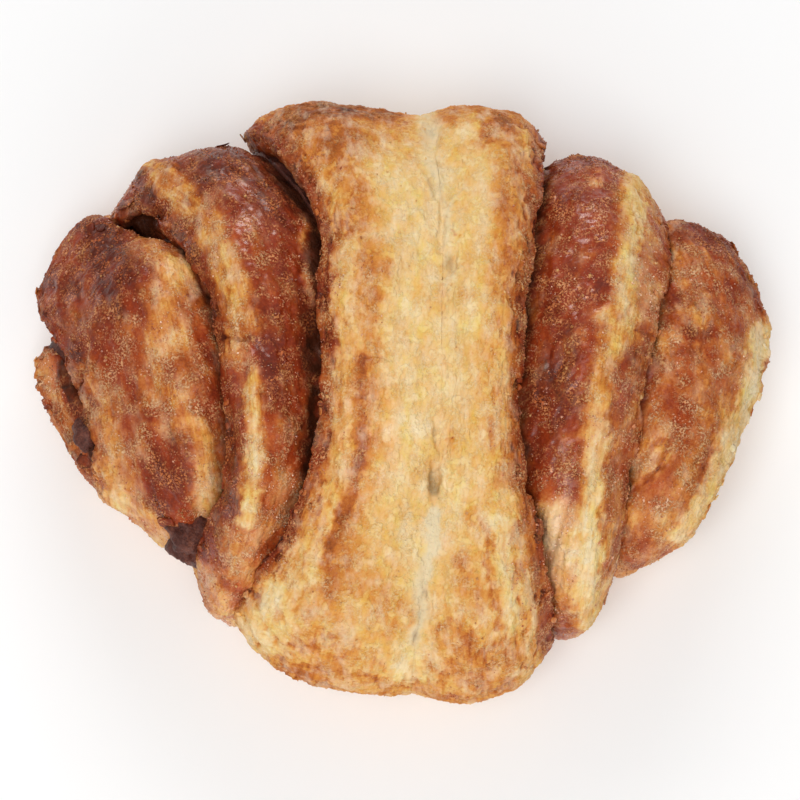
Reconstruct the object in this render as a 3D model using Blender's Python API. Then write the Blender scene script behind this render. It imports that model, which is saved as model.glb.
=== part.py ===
"""Cinnamon bun: a slice of rolled laminated dough, pressed along the middle so that the turns fan out.

Four nested turns of dough (0 is the wide middle band on top, 3 the end of the roll) are joined into
one solid. Cinnamon filling lies between each turn and the next, and comes out in the grooves.
X runs across the grooves, Y from front to back, Z up. Sizes are in millimetres, except where METRES
turns them into the scene's unit. The origin is on the tray face, in the middle of the outline.
"""

import bmesh
import bpy
import numpy as np

METRES = 0.001

# Outline of the bun at its widest level: how far it reaches back and to the front at each X.
REACH_X = (-66, -60, -54, -47, -38, -28, -16, 0, 14, 26, 36, 46, 54, 60, 66)
REACH_BACK = (24, 31, 34, 41, 44.5, 51.5, 54, 53.5, 53, 48.5, 43, 36.5, 31, 31, 24)
REACH_FRONT = (-7, -12, -18, -20, -27.5, -40.5, -47, -51.5, -50.5, -44, -33.5, -26, -25, -20.5, -14)

# Height of the crests above the tray at each X.
CREST_X = (-66, -56, -46, -34, -20, 0, 20, 34, 46, 56, 66)
CREST_Z = (15, 23.5, 30, 36.5, 40.5, 41.5, 40.5, 37, 31, 24, 15)

# The widest level is lower at the ends than in the middle.
WIDEST_Z_MIDDLE = 12.5
WIDEST_Z_END = 9.5
END_X = 60.0

# Squareness of the cross-section above and below the widest level, and the trimmed part below z = 0.
TOP_POWER = 2.25
FOOT_POWER = 3.4
TRIMMED = 4.0
FOOT_TUCK = 0.07

# X of the left and right rim of each turn, from the front (-1) over the top to the back (1).
RIM_AT = (-1, -0.75, -0.5, -0.2, 0.2, 0.5, 0.75, 1)
RIM_LEFT = (
    (-27.5, -22.5, -16.5, -13.2, -13, -13.2, -17.5, -23.5),
    (-35, -31.5, -28.8, -28.6, -31.5, -36.5, -42.5, -48.5),
    (-51.5, -52.5, -53.5, -56, -60.5, -62.8, -62.6, -60),
    (-56, -58.5, -60.5, -62, -63, -63.3, -63, -61.5),
)
RIM_RIGHT = (
    (25.5, 24, 21.3, 19.5, 20.5, 22.3, 24, 25),
    (36.5, 37.4, 38.8, 40.4, 43, 45.2, 46, 46),
    (50, 53, 57.5, 61.5, 63.3, 63, 61, 58),
    (50, 51, 52, 53, 53, 52, 51, 50),
)

# X of the pressed valley along the middle of turn 0.
VALLEY = (2, 3.2, 5, 6.4, 6.8, 7, 6, 3)

# Depth below the crest line, from a turn's own rim (0) to the rim of the turn above it (1) and on under
# that turn. Turn 0 runs to its valley instead, and a strip narrower than NARROWEST_STRIP counts as that.
# Where a strip is narrower than FULL_STRIP, the groove beside it is shallower in proportion.
NARROWEST_STRIP = 4.0
FULL_STRIP = (1.0, 14.0, 14.0, 1.0)
PROFILE_LEFT = (
    ((0, 3.4), (0.07, 1.9), (0.18, 0.8), (0.28, 0.2), (0.4, 0), (0.62, 0.5), (0.86, 1.8), (1, 2.8), (2, 6)),
    ((0, 5.2), (0.08, 3.3), (0.18, 1.4), (0.28, 0.3), (0.38, 0), (0.5, 0.6), (0.63, 2.2), (0.78, 4.8),
     (0.9, 7.2), (1, 9), (1.3, 11.5), (3, 13)),
    ((0, 4.6), (0.06, 3), (0.16, 1.6), (0.32, 0.5), (0.52, 0), (0.7, 0.7), (0.83, 2.2), (0.93, 4.6),
     (1, 6.8), (1.2, 11), (2, 19), (4, 22)),
    ((0, 4), (0.6, 3), (1.2, 2.8), (1.8, 4.5), (2.6, 9), (3.5, 14), (8, 26), (14, 34)),
)
PROFILE_RIGHT = (
    ((0, 3.2), (0.07, 1.8), (0.18, 0.7), (0.27, 0.2), (0.4, 0), (0.6, 0.5), (0.84, 1.9), (1, 2.8), (2, 6)),
    ((0, 5.2), (0.08, 3.2), (0.17, 1.4), (0.28, 0.3), (0.4, 0), (0.55, 0.5), (0.7, 2), (0.84, 4.4),
     (0.94, 6.8), (1, 8.4), (1.3, 11.5), (3, 13)),
    ((0, 4), (0.05, 2.6), (0.14, 1.3), (0.28, 0.4), (0.45, 0), (0.62, 0.5), (0.76, 1.6), (0.88, 3.6),
     (1, 6.5), (1.2, 11), (2, 19), (4, 22)),
    ((0, 13), (14, 34)),
)

# The end of the roll is narrower and lower than the turn round it, and lies further forward.
NARROWER = (0, 0, 0, 8.5)
LOWER = (0, 0, 0, 2)
FORWARD = (0, 0, 0, 6.5)

# X of the middle of each turn's left and right end face.
POLE_LEFT = (-12, -31, -58, -62.4)
POLE_RIGHT = (17, 36, 62.6, 50)

# Across each turn: the top runs to TOP_END, the cut face below the rim to CUT_END, then the end face.
TOP_END = 0.84
CUT_END = 0.93
CUT_DROP = 5.0
CUT_INWARD = (2.6, 2.4, 0.8, 0.6)
RIM_CROWDING = 1.6

# Bulges and hollows of the crust: turn, X, Y, radius across, radius along, height.
BULGES = (
    (0, 1, 46, 7, 9, -1.4), (0, -14, 40, 6, 8, 1.0), (0, -8, -40, 11, 9, 0.9), (0, 14, -38, 7, 9, 0.8),
    (0, -7, 8, 5, 9, 0.5), (0, 13, 6, 5, 12, 0.5), (0, 8, -14, 3, 6, -0.8), (0, 4, -42, 3, 7, -0.9),
    (1, -33, 10.5, 6, 4, -1.3), (1, -29, 17, 6, 6, 1.0), (1, -25, -22, 6, 8, 0.9), (1, 31, 30, 7, 8, 1.1),
    (1, 36, 3, 6, 9, 0.6), (1, 27, -2, 5, 7, -0.8), (1, 28, -30, 6, 8, 0.8), (1, 42, 10, 4, 4, 0.9),
    (2, -45, 14, 8, 10, 0.9), (2, -40, -12, 8, 8, 0.8), (2, -52, 24, 7, 7, -0.8), (2, 50, 11, 8, 3, 1.0),
    (2, 51, -3, 7, 4, -0.9), (2, 49, -18, 7, 8, 0.8), (2, 54, 22, 6, 6, 0.8),
)

# Filling: a layer between each turn and the next, out to just inside the rim above it.
FILLING_THICK = 1.0
FILLING_SUNK = 0.25
FILLING_INSIDE = 0.9
FILLING_CORE_LEFT, FILLING_CORE_RIGHT = -61.0, 44.0
# Degrees from the front where each layer starts and ends, at its left and right edge.
FILLING_FRONT = ((20, -28), (-24, -28), (-24, -10))
FILLING_BACK = ((208, 208), (208, 208), (200, 190))
SLOT_CLEARANCE = 0.35
# The slot runs on past the layer by these times the clearance: degrees round, millimetres across.
SLOT_TURN, SLOT_SIDE = 5, 1.5
# Lumps of filling that boiled out: share across the layer, angle from the front in degrees, radius.
LUMPS = (
    ((0.04, 146, 2.2),),
    ((0.022, 28, 3.7), (0.045, 15, 3.2), (0.02, 150, 2.6)),
    ((0.02, 32, 2.5), (0.03, 18, 2.2)),
)

# Facets of each turn and layer: round the section, and across.
TURN_FACETS = ((44, 24), (44, 26), (38, 26), (24, 14))
LAYER_FACETS = ((20, 7), (18, 11), (13, 9))
LUMP_FACETS = (10, 6)
NODE_NAMES = ("filling_outer", "filling_middle", "filling_core")

DOUGH_COLOUR = (0.60, 0.33, 0.12)
FILLING_COLOUR = (0.13, 0.035, 0.012)


def curve(stations, values, at):
    """Height at each place of the natural cubic curve that passes through the stations."""
    x, y = np.asarray(stations, float), np.asarray(values, float)
    gap = np.diff(x)
    count = len(x)
    matrix, right = np.zeros((count, count)), np.zeros(count)
    matrix[0, 0] = matrix[-1, -1] = 1
    for i in range(1, count - 1):
        matrix[i, i - 1 : i + 2] = gap[i - 1], 2 * (gap[i - 1] + gap[i]), gap[i]
        right[i] = 6 * ((y[i + 1] - y[i]) / gap[i] - (y[i] - y[i - 1]) / gap[i - 1])
    bend = np.linalg.solve(matrix, right)
    at = np.clip(at, x[0], x[-1])
    i = np.clip(np.searchsorted(x, at) - 1, 0, count - 2)
    before, after, width = at - x[i], x[i + 1] - at, gap[i]
    return (
        (bend[i] * after**3 + bend[i + 1] * before**3) / (6 * width)
        + (y[i] / width - bend[i] * width / 6) * after
        + (y[i + 1] / width - bend[i + 1] * width / 6) * before
    )


def section(angle):
    """Front-to-back and height shares of the rounded-square cross-section at an angle from the front."""
    along, up = -np.cos(angle), np.sin(angle)
    power = np.where(up >= 0, TOP_POWER, FOOT_POWER)
    size = (np.abs(along) ** power + np.abs(up) ** power) ** (1 / power)
    return along / size, up / size


def rims(turn, along):
    """X of the left and right rim of a turn at a front-to-back share."""
    return curve(RIM_AT, RIM_LEFT[turn], along), curve(RIM_AT, RIM_RIGHT[turn], along)


def ridge(turn, distance, strip, profile):
    """Depth of a turn at a distance in from its rim, where the strip that shows is this wide."""
    strip = np.maximum(strip, NARROWEST_STRIP)
    share = distance / strip
    depth = np.interp(share, *zip(*profile))
    groove = np.interp(1.0, *zip(*profile))
    shallow = np.clip(strip / FULL_STRIP[turn], 0.3, 1)
    inner = np.clip((share - 0.3) / 0.2, 0, 1)
    return depth - np.minimum(depth, groove) * (1 - shallow) * inner


def depth_at(turn, x, along):
    """Depth of a turn's top surface below the crest line, at X and at a front-to-back share."""
    left, right = rims(turn, along)
    if turn:
        inner_left, inner_right = rims(turn - 1, along)
    else:
        inner_left = inner_right = curve(RIM_AT, VALLEY, along)
    on_left = ridge(turn, x - left, inner_left - left, PROFILE_LEFT[turn])
    on_right = ridge(turn, right - x, right - inner_right, PROFILE_RIGHT[turn])
    return np.minimum(on_left, on_right)


def place(turn, x, along, up, depth, shrink=1.0, above=0.0):
    """Point of a turn at X: the crest line's section, drawn in by the depth, then by shrink to its axis,
    at a height above the surface."""
    back, front = curve(REACH_X, REACH_BACK, x), curve(REACH_X, REACH_FRONT, x)
    middle = (back + front) / 2 - FORWARD[turn]
    reach = (back - front) / 2 - NARROWER[turn]
    widest = WIDEST_Z_MIDDLE + (WIDEST_Z_END - WIDEST_Z_MIDDLE) * np.minimum(np.abs(x) / END_X, 1) ** 2
    height = curve(CREST_X, CREST_Z, x) - widest - LOWER[turn]
    drawn_reach = reach * np.exp(-depth / reach) + above
    drawn_height = height * np.exp(-depth / height) + above
    y = middle + drawn_reach * along * shrink
    z = widest + np.where(up >= 0, drawn_height, widest + TRIMMED) * up * shrink
    swell = 0
    for which, bulge_x, bulge_y, across, length, rise in BULGES:
        if which == turn:
            away = ((x - bulge_x) / across) ** 2 + ((y - bulge_y) / length) ** 2
            swell = swell + rise * np.exp(-away)
    top = np.clip(up, 0, 1) * shrink
    return np.stack(np.broadcast_arrays(x, y + swell * along * top, z + swell * top), axis=-1)


def turn_surface(turn, angle, across):
    """Points of a turn for section angles and places across it, from its left pole (-1) to its right (1)."""
    along, up = section(angle)
    left, right = rims(turn, along)
    middle, half = (left + right) / 2, (right - left) / 2
    away, side = np.abs(across), np.where(across < 0, -1.0, 1.0)
    share = np.clip(1 - away / TOP_END, 0, 1) ** RIM_CROWDING
    cut = np.clip((away - TOP_END) / (CUT_END - TOP_END), 0, 1)
    shrink = 1 - np.clip((away - CUT_END) / (1 - CUT_END), 0, 1)
    x = middle + side * (half * (1 - share) - CUT_INWARD[turn] * cut**1.5)
    depth = depth_at(turn, middle + side * half * (1 - share), along) + CUT_DROP * cut
    pole = np.where(side < 0, POLE_LEFT[turn], POLE_RIGHT[turn])
    x = x * shrink + pole * (1 - shrink)
    x = middle + (x - middle) * np.where(up >= 0, 1, 1 - FOOT_TUCK * np.abs(up))
    return place(turn, x, along, up, depth, shrink)


def layer_surface(layer, share, angle, above, beyond=0.0):
    """Points of the filling layer that lies on turn layer + 1, at a height above that turn's surface."""
    along, up = section(angle)
    left, right = rims(layer, along)
    left, right = left + FILLING_INSIDE, right - FILLING_INSIDE
    if layer == 2:
        left, right = np.maximum(left, FILLING_CORE_LEFT), np.full_like(right, FILLING_CORE_RIGHT)
    x = left + (right - left) * share + beyond
    return place(layer + 1, x, along, up, depth_at(layer + 1, x, along), above=above)


def new_object(name, points, faces, collection):
    mesh = bpy.data.meshes.new(name)
    mesh.from_pydata((np.asarray(points) * METRES).tolist(), [], faces)
    obj = bpy.data.objects.new(name, mesh)
    collection.objects.link(obj)
    return obj


def turn_object(turn, collection):
    """A UV sphere with its poles left and right, moved onto the turn's surface."""
    around, over = TURN_FACETS[turn]
    bm = bmesh.new()
    bmesh.ops.create_uvsphere(bm, u_segments=around, v_segments=over, radius=1.0)
    mesh = bpy.data.meshes.new(f"turn_{turn}")
    bm.to_mesh(mesh)
    bm.free()
    ball = np.empty(len(mesh.vertices) * 3, np.float32)
    mesh.vertices.foreach_get("co", ball)
    pole, side, front = ball.reshape(-1, 3).astype(float).T[[2, 0, 1]]
    across = np.arcsin(np.clip(pole, -1, 1)) / (np.pi / 2)
    angle = np.arctan2(side, -front)
    points = turn_surface(turn, angle, across)
    mesh.vertices.foreach_set("co", (points * METRES).astype(np.float32).ravel())
    bm = bmesh.new()
    bm.from_mesh(mesh)
    bmesh.ops.recalc_face_normals(bm, faces=bm.faces)
    bm.to_mesh(mesh)
    bm.free()
    obj = bpy.data.objects.new(f"turn_{turn}", mesh)
    collection.objects.link(obj)
    return obj


def stations(count, margin):
    """Even shares from 0 to 1, and how far each lies beyond the ends: one more on each side with a margin."""
    share, beyond = np.linspace(0, 1, count + 1), np.zeros(count + 1)
    if margin:
        share, beyond = np.pad(share, 1, "edge"), np.pad(beyond, 1, constant_values=(-margin, margin))
    return share, beyond


def layer_object(name, layer, clearance, collection):
    """A closed sheet: the layer's upper and lower surfaces, joined round their edge. A clearance makes it
    thicker and longer on every side."""
    around, over = LAYER_FACETS[layer]
    thick, sunk = FILLING_THICK + 2 * clearance, FILLING_SUNK + clearance
    turned, further = stations(around, SLOT_TURN * clearance)
    share, beyond = stations(over, SLOT_SIDE * clearance)
    (turned, share), (further, beyond) = np.meshgrid(turned, share), np.meshgrid(further, beyond)
    low = FILLING_FRONT[layer][0] * (1 - share) + FILLING_FRONT[layer][1] * share
    high = FILLING_BACK[layer][0] * (1 - share) + FILLING_BACK[layer][1] * share
    angle = np.radians(low + (high - low) * turned + further)
    rows, columns = angle.shape
    top = layer_surface(layer, share, angle, thick - sunk, beyond).reshape(-1, 3)
    base = layer_surface(layer, share, angle, -sunk, beyond).reshape(-1, 3)
    count = len(top)
    number = np.arange(count).reshape(rows, columns)
    corner, right, far, ahead = number[:-1, :-1], number[:-1, 1:], number[1:, 1:], number[1:, :-1]
    halves = np.concatenate([np.stack([corner, right, far], -1), np.stack([corner, far, ahead], -1)]).reshape(-1, 3)
    ring = np.concatenate([number[0, :-1], number[:-1, -1], number[-1, :0:-1], number[:0:-1, 0]])
    wall = np.stack([ring, ring + count, np.roll(ring, -1) + count, np.roll(ring, -1)], -1)
    faces = halves.tolist() + (halves[:, ::-1] + count).tolist() + wall.tolist()
    obj = new_object(name, np.concatenate([top, base]), faces, collection)
    bm = bmesh.new()
    bm.from_mesh(obj.data)
    bmesh.ops.recalc_face_normals(bm, faces=bm.faces)
    bm.to_mesh(obj.data)
    bm.free()
    return obj


def lump_object(name, layer, share, degrees, radius, collection):
    """A flattened ball of filling on its layer's edge."""
    centre = layer_surface(layer, np.array(share), np.radians(degrees), FILLING_THICK / 2)
    bm = bmesh.new()
    bmesh.ops.create_uvsphere(bm, u_segments=LUMP_FACETS[0], v_segments=LUMP_FACETS[1], radius=radius * METRES)
    bmesh.ops.scale(bm, vec=(0.85, 1.1, 0.75), verts=bm.verts)
    bmesh.ops.translate(bm, vec=(centre * METRES).tolist(), verts=bm.verts)
    mesh = bpy.data.meshes.new(name)
    bm.to_mesh(mesh)
    bm.free()
    obj = bpy.data.objects.new(name, mesh)
    collection.objects.link(obj)
    return obj


def box_object(name, low, high, collection):
    bm = bmesh.new()
    bmesh.ops.create_cube(bm, size=1.0)
    size, middle = np.subtract(high, low), np.add(high, low) / 2
    bmesh.ops.scale(bm, vec=(size * METRES).tolist(), verts=bm.verts)
    bmesh.ops.translate(bm, vec=(middle * METRES).tolist(), verts=bm.verts)
    mesh = bpy.data.meshes.new(name)
    bm.to_mesh(mesh)
    bm.free()
    obj = bpy.data.objects.new(name, mesh)
    collection.objects.link(obj)
    return obj


def helper_collection(name):
    collection = bpy.data.collections.new(name)
    bpy.context.scene.collection.children.link(collection)
    collection.hide_render = True
    return collection


def triangulate(obj):
    bm = bmesh.new()
    bm.from_mesh(obj.data)
    bmesh.ops.triangulate(bm, faces=bm.faces)
    bm.to_mesh(obj.data)
    bm.free()


def combine(obj, operation, collection):
    """Applies one Boolean with a whole collection, then removes the collection and its objects."""
    triangulate(obj)
    for helper in collection.objects:
        triangulate(helper)
        helper.display_type = "WIRE"
    modifier = obj.modifiers.new(operation.lower(), "BOOLEAN")
    modifier.operation = operation
    modifier.solver = "MANIFOLD"
    modifier.operand_type = "COLLECTION"
    modifier.collection = collection
    graph = bpy.context.evaluated_depsgraph_get()
    result = bpy.data.meshes.new_from_object(obj.evaluated_get(graph), depsgraph=graph)
    obj.modifiers.clear()
    obj.data = result
    for helper in list(collection.objects):
        bpy.data.objects.remove(helper)
    bpy.data.collections.remove(collection)


def keep_largest(obj):
    """Drops the loose scraps that cutting left, and welds points that coincide."""
    bm = bmesh.new()
    bm.from_mesh(obj.data)
    bmesh.ops.remove_doubles(bm, verts=bm.verts, dist=5e-7)
    bmesh.ops.dissolve_degenerate(bm, edges=bm.edges, dist=5e-7)
    seen, groups = set(), []
    for start in bm.verts:
        if start in seen:
            continue
        group, queue = [], [start]
        seen.add(start)
        while queue:
            vert = queue.pop()
            group.append(vert)
            for edge in vert.link_edges:
                other = edge.other_vert(vert)
                if other not in seen:
                    seen.add(other)
                    queue.append(other)
        groups.append(group)
    groups.sort(key=len)
    for group in groups[:-1]:
        bmesh.ops.delete(bm, geom=group, context="VERTS")
    bmesh.ops.triangulate(bm, faces=bm.faces)
    bm.to_mesh(obj.data)
    bm.free()


def material(name, colour, roughness):
    made = bpy.data.materials.new(name)
    made.use_nodes = True
    shader = made.node_tree.nodes["Principled BSDF"]
    shader.inputs["Base Color"].default_value = (*colour, 1)
    shader.inputs["Roughness"].default_value = roughness
    shader.inputs["Metallic"].default_value = 0
    return made


def smooth_shading(obj, degrees):
    obj.data.shade_smooth()
    obj.data.set_sharp_from_angle(angle=np.radians(degrees))


def build_dough(bun):
    """The turns joined into one solid, trimmed flat below, with a slot for each filling layer."""
    dough = turn_object(0, bun)
    dough.name = dough.data.name = "dough"
    inner = helper_collection("inner_turns")
    for turn in (1, 2, 3):
        turn_object(turn, inner)
    combine(dough, "UNION", inner)
    cutters = helper_collection("dough_cutters")
    box_object("below_tray", (-90, -90, -30), (90, 90, 0), cutters)
    combine(dough, "DIFFERENCE", cutters)
    slots = helper_collection("filling_slots")
    for layer, lumps in enumerate(LUMPS):
        layer_object(f"slot_{layer}", layer, SLOT_CLEARANCE, slots)
        for number, (share, degrees, radius) in enumerate(lumps):
            lump_object(f"pocket_{layer}_{number}", layer, share, degrees, radius + SLOT_CLEARANCE + 0.1, slots)
    combine(dough, "DIFFERENCE", slots)
    keep_largest(dough)
    dough.data.materials.clear()
    dough.data.materials.append(material("baked_dough", DOUGH_COLOUR, 0.5))
    smooth_shading(dough, 50)


def build_fillings(bun):
    """The three filling layers, each with its lumps."""
    filling_material = material("cinnamon_filling", FILLING_COLOUR, 0.4)
    for layer, lumps in enumerate(LUMPS):
        name = NODE_NAMES[layer]
        filling = layer_object(name, layer, 0.0, bun)
        joined = helper_collection(f"lumps_{layer}")
        for number, (share, degrees, radius) in enumerate(lumps):
            lump_object(f"lump_{layer}_{number}", layer, share, degrees, radius, joined)
        combine(filling, "UNION", joined)
        keep_largest(filling)
        filling.data.materials.clear()
        filling.data.materials.append(filling_material)
        smooth_shading(filling, 50)


def centre_on_outline(bun):
    """Moves the meshes so that the middle of their outline seen from above is at the origin."""
    points = [vert.co for obj in bun.objects for vert in obj.data.vertices]
    for axis in (0, 1):
        values = [point[axis] for point in points]
        middle = (min(values) + max(values)) / 2
        for point in points:
            point[axis] -= middle


def main():
    for obj in list(bpy.data.objects):
        bpy.data.objects.remove(obj)
    bun = bpy.data.collections.new("cinnamon_bun")
    bpy.context.scene.collection.children.link(bun)
    build_dough(bun)
    build_fillings(bun)
    centre_on_outline(bun)


if __name__ == "__main__":
    main()
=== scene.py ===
"""Looks of a cinnamon bun: crust, lamination, cinnamon filling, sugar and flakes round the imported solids.

The bun is a slice of a roll of laminated dough, pressed along the middle so that its turns fan out.
Each turn is a closed surface worked out on a grid of section angles and places across, with the crust's
relief in the mesh. Sizes are in millimetres until a mesh is made. Places "on the picture" are where a
point shows from the camera, X to the right and Y up, in millimetres from the middle of the picture.
"""

import itertools

import bpy
import numpy as np
from bpy.props import FloatProperty, FloatVectorProperty, IntProperty, PointerProperty
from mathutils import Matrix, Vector


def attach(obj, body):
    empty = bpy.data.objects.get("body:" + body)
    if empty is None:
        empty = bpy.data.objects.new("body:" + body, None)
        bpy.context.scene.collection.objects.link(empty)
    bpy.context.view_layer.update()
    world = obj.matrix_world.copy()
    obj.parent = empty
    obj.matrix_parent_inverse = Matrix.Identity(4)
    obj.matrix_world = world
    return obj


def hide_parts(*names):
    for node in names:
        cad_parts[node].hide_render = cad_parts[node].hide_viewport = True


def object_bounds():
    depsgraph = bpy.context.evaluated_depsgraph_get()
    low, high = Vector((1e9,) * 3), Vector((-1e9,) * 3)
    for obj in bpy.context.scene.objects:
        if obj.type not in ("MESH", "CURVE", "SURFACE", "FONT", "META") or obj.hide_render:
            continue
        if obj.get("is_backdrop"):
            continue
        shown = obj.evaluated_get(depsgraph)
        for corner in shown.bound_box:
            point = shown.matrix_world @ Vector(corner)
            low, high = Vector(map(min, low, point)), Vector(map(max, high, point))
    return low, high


bl_info = {
    "name": "Cinnamon bun looks",
    "version": (1, 0, 0),
    "blender": (4, 5, 0),
    "location": "View3D > Sidebar > Cinnamon bun",
    "description": "Builds the crust, filling, sugar and flakes of a cinnamon bun round its packed solids",
    "category": "Add Mesh",
}

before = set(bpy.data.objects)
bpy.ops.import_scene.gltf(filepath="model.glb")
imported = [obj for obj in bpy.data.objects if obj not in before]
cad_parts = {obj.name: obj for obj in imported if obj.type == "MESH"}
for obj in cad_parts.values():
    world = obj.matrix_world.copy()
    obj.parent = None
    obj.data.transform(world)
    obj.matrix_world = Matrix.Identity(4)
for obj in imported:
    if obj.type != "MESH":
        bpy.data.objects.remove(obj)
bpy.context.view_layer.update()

METRES = 0.001
BODY = "root"

# The solids' outline is centred on the origin. Before that, their shape stood off by this.
OFF_CENTRE = np.array((-0.0445, -1.6581, 0.0))

# Camera: aim point before centring, elevation from the front, distance, lens and sensor.
AIM = np.array((0.0, -0.6, 20.0))
ELEVATION = 80.0
DISTANCE = 378.0
LENS, SENSOR = 100.0, 36.0

# Outline of the bun at its widest level, and height of its crests, at each X.
REACH_X = (-66, -60, -54, -47, -38, -28, -16, 0, 14, 26, 36, 46, 54, 60, 66)
REACH_BACK = (24, 31, 34, 41, 44.5, 50.5, 52.6, 53, 52.3, 48.5, 43, 36.5, 31, 31, 24)
REACH_FRONT = (-7, -12, -18, -20, -27.5, -40.5, -47, -51.5, -50.5, -44, -33.5, -26, -25, -20.5, -14)
CREST_X = (-66, -56, -46, -34, -20, 0, 20, 34, 46, 56, 66)
CREST_Z = (15, 23.5, 30, 36.5, 40.5, 41.5, 40.5, 37, 31, 24, 15)
WIDEST_Z_MIDDLE, WIDEST_Z_END, END_X = 12.5, 9.5, 60.0

# Squareness of the cross-section above and below the widest level, and the trimmed part below z = 0.
TOP_POWER, FOOT_POWER, TRIMMED, FOOT_TUCK = 2.25, 3.4, 4.0, 0.07

# X of each turn's left and right rim from the front (-1) over the top to the back (1), and of the valley,
# whose place on the picture is VALLEY_X.
RIM_AT = (-1, -0.75, -0.5, -0.2, 0.2, 0.5, 0.75, 1)
RIM_LEFT = (
    (-27.5, -22.5, -16.5, -13.2, -13, -13.4, -18.4, -27),
    (-35, -31.5, -28.8, -28.6, -31.5, -36.5, -44, -51),
    (-51.5, -52.5, -53.5, -56, -60.5, -62.8, -62.6, -60),
    (-56, -58.5, -60.5, -62, -63, -63.3, -63, -61.5),
)
RIM_RIGHT = (
    (25.5, 24, 21.3, 19.5, 20.5, 22.3, 24, 25),
    (36.5, 37.4, 38.8, 40.4, 43, 45.2, 46, 46),
    (50, 53, 57.5, 61.5, 63.3, 63, 61, 58),
    (50, 51, 52, 53, 53, 52, 51, 50),
)
VALLEY, VALLEY_X = (2, 3.2, 5, 6.4, 6.8, 7, 6, 3), 6.5

# Depth below the crest line, from a turn's own rim (0) to the rim of the turn above it (1) and on.
NARROWEST_STRIP = 4.0
FULL_STRIP = (1.0, 14.0, 14.0, 1.0)
PROFILE_LEFT = (
    ((0, 3.4), (0.07, 1.9), (0.18, 0.8), (0.28, 0.2), (0.4, 0), (0.62, 0.5), (0.86, 1.8), (1, 2.8), (2, 6)),
    ((0, 5.2), (0.08, 3.3), (0.18, 1.4), (0.28, 0.3), (0.38, 0), (0.5, 0.6), (0.63, 2.2), (0.78, 4.8),
     (0.9, 7.2), (1, 9), (1.3, 11.5), (3, 13)),
    ((0, 4.6), (0.06, 3), (0.16, 1.6), (0.32, 0.5), (0.52, 0), (0.7, 0.8), (0.82, 2.4), (0.91, 5.0),
     (1, 8.2), (1.2, 12), (2, 19), (4, 22)),
    ((0, 4), (0.6, 3), (1.2, 2.8), (1.8, 4.5), (2.6, 9), (3.5, 14), (8, 26), (14, 34)),
)
PROFILE_RIGHT = (
    ((0, 3.2), (0.07, 1.8), (0.18, 0.7), (0.27, 0.2), (0.4, 0), (0.6, 0.5), (0.84, 1.9), (1, 2.8), (2, 6)),
    ((0, 5.2), (0.08, 3.2), (0.17, 1.4), (0.28, 0.3), (0.4, 0), (0.55, 0.5), (0.7, 2), (0.84, 4.4),
     (0.94, 6.8), (1, 8.4), (1.3, 11.5), (3, 13)),
    ((0, 4), (0.05, 2.6), (0.14, 1.3), (0.28, 0.4), (0.45, 0), (0.62, 0.5), (0.76, 1.6), (0.88, 3.6),
     (1, 6.5), (1.2, 11), (2, 19), (4, 22)),
    ((0, 13), (14, 34)),
)
PROFILE_TAPS = (-0.05, -0.025, 0.0, 0.025, 0.05)

NARROWER, LOWER, FORWARD = (0, 0, 0, 8.5), (0, 0, 0, 2), (0, 0, 0, 6.5)
POLE_LEFT, POLE_RIGHT = (-12, -31, -58, -62.4), (17, 36, 62.6, 50)
CUT_DROP, CUT_INWARD, CUT_POWER = 5.0, (2.6, 2.4, 0.8, 0.6), 1.5

# Bulges and hollows of the crust: turn, X, Y, radius across, radius along, height.
BULGES = (
    (0, 1, 46, 7, 9, -1.4), (0, -14, 40, 6, 8, 1.0), (0, -8, -40, 11, 9, 0.9), (0, 14, -38, 7, 9, 0.8),
    (0, -7, 8, 5, 9, 0.5), (0, 13, 6, 5, 12, 0.5), (0, 8, -14, 3, 6, -0.8), (0, 4, -42, 3, 7, -0.9),
    (1, -33, 10.5, 6, 4, -1.3), (1, -29, 17, 6, 6, 1.0), (1, -25, -22, 6, 8, 0.9), (1, 31, 30, 7, 8, 1.1),
    (1, 36, 3, 6, 9, 0.6), (1, 27, -2, 5, 7, -0.8), (1, 28, -30, 6, 8, 0.8), (1, 42, 10, 4, 4, 0.9),
    (2, -45, 14, 8, 10, 0.9), (2, -40, -12, 8, 8, 0.8), (2, -52, 24, 7, 7, -0.8), (2, 50, 11, 8, 3, 1.0),
    (2, -45.5, 32, 6, 8, -4.5), (0, 5.5, 50, 5, 9, 1.4), (1, -22, -37, 5, 9, 2.5), (1, -30, 43, 7, 7, 2.2),
    (2, 51, -3, 7, 4, -0.9), (2, 49, -18, 7, 8, 0.8), (2, 54, 22, 6, 6, 0.8),
)

# Filling: a layer between each turn and the next, out to just inside the rim above it.
FILLING_THICK, FILLING_SUNK, FILLING_INSIDE = 1.0, 0.25, 0.9
FILLING_CORE_LEFT, FILLING_CORE_RIGHT = -61.0, 44.0
FILLING_FRONT = ((20, -28), (-24, -28), (-24, -10))
FILLING_BACK = ((208, 208), (208, 208), (200, 190))
LUMPY, FILLING_DIP = (0.55, 0.55, 0.3), (0.0, 0.0, 2.6)
FILLING_NODES = ("filling_outer", "filling_middle", "filling_core")
FILLING_ROWS, EDGE_COLUMNS, INNER_COLUMNS, EDGE_SHARE = 260, 16, 12, 0.12
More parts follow.
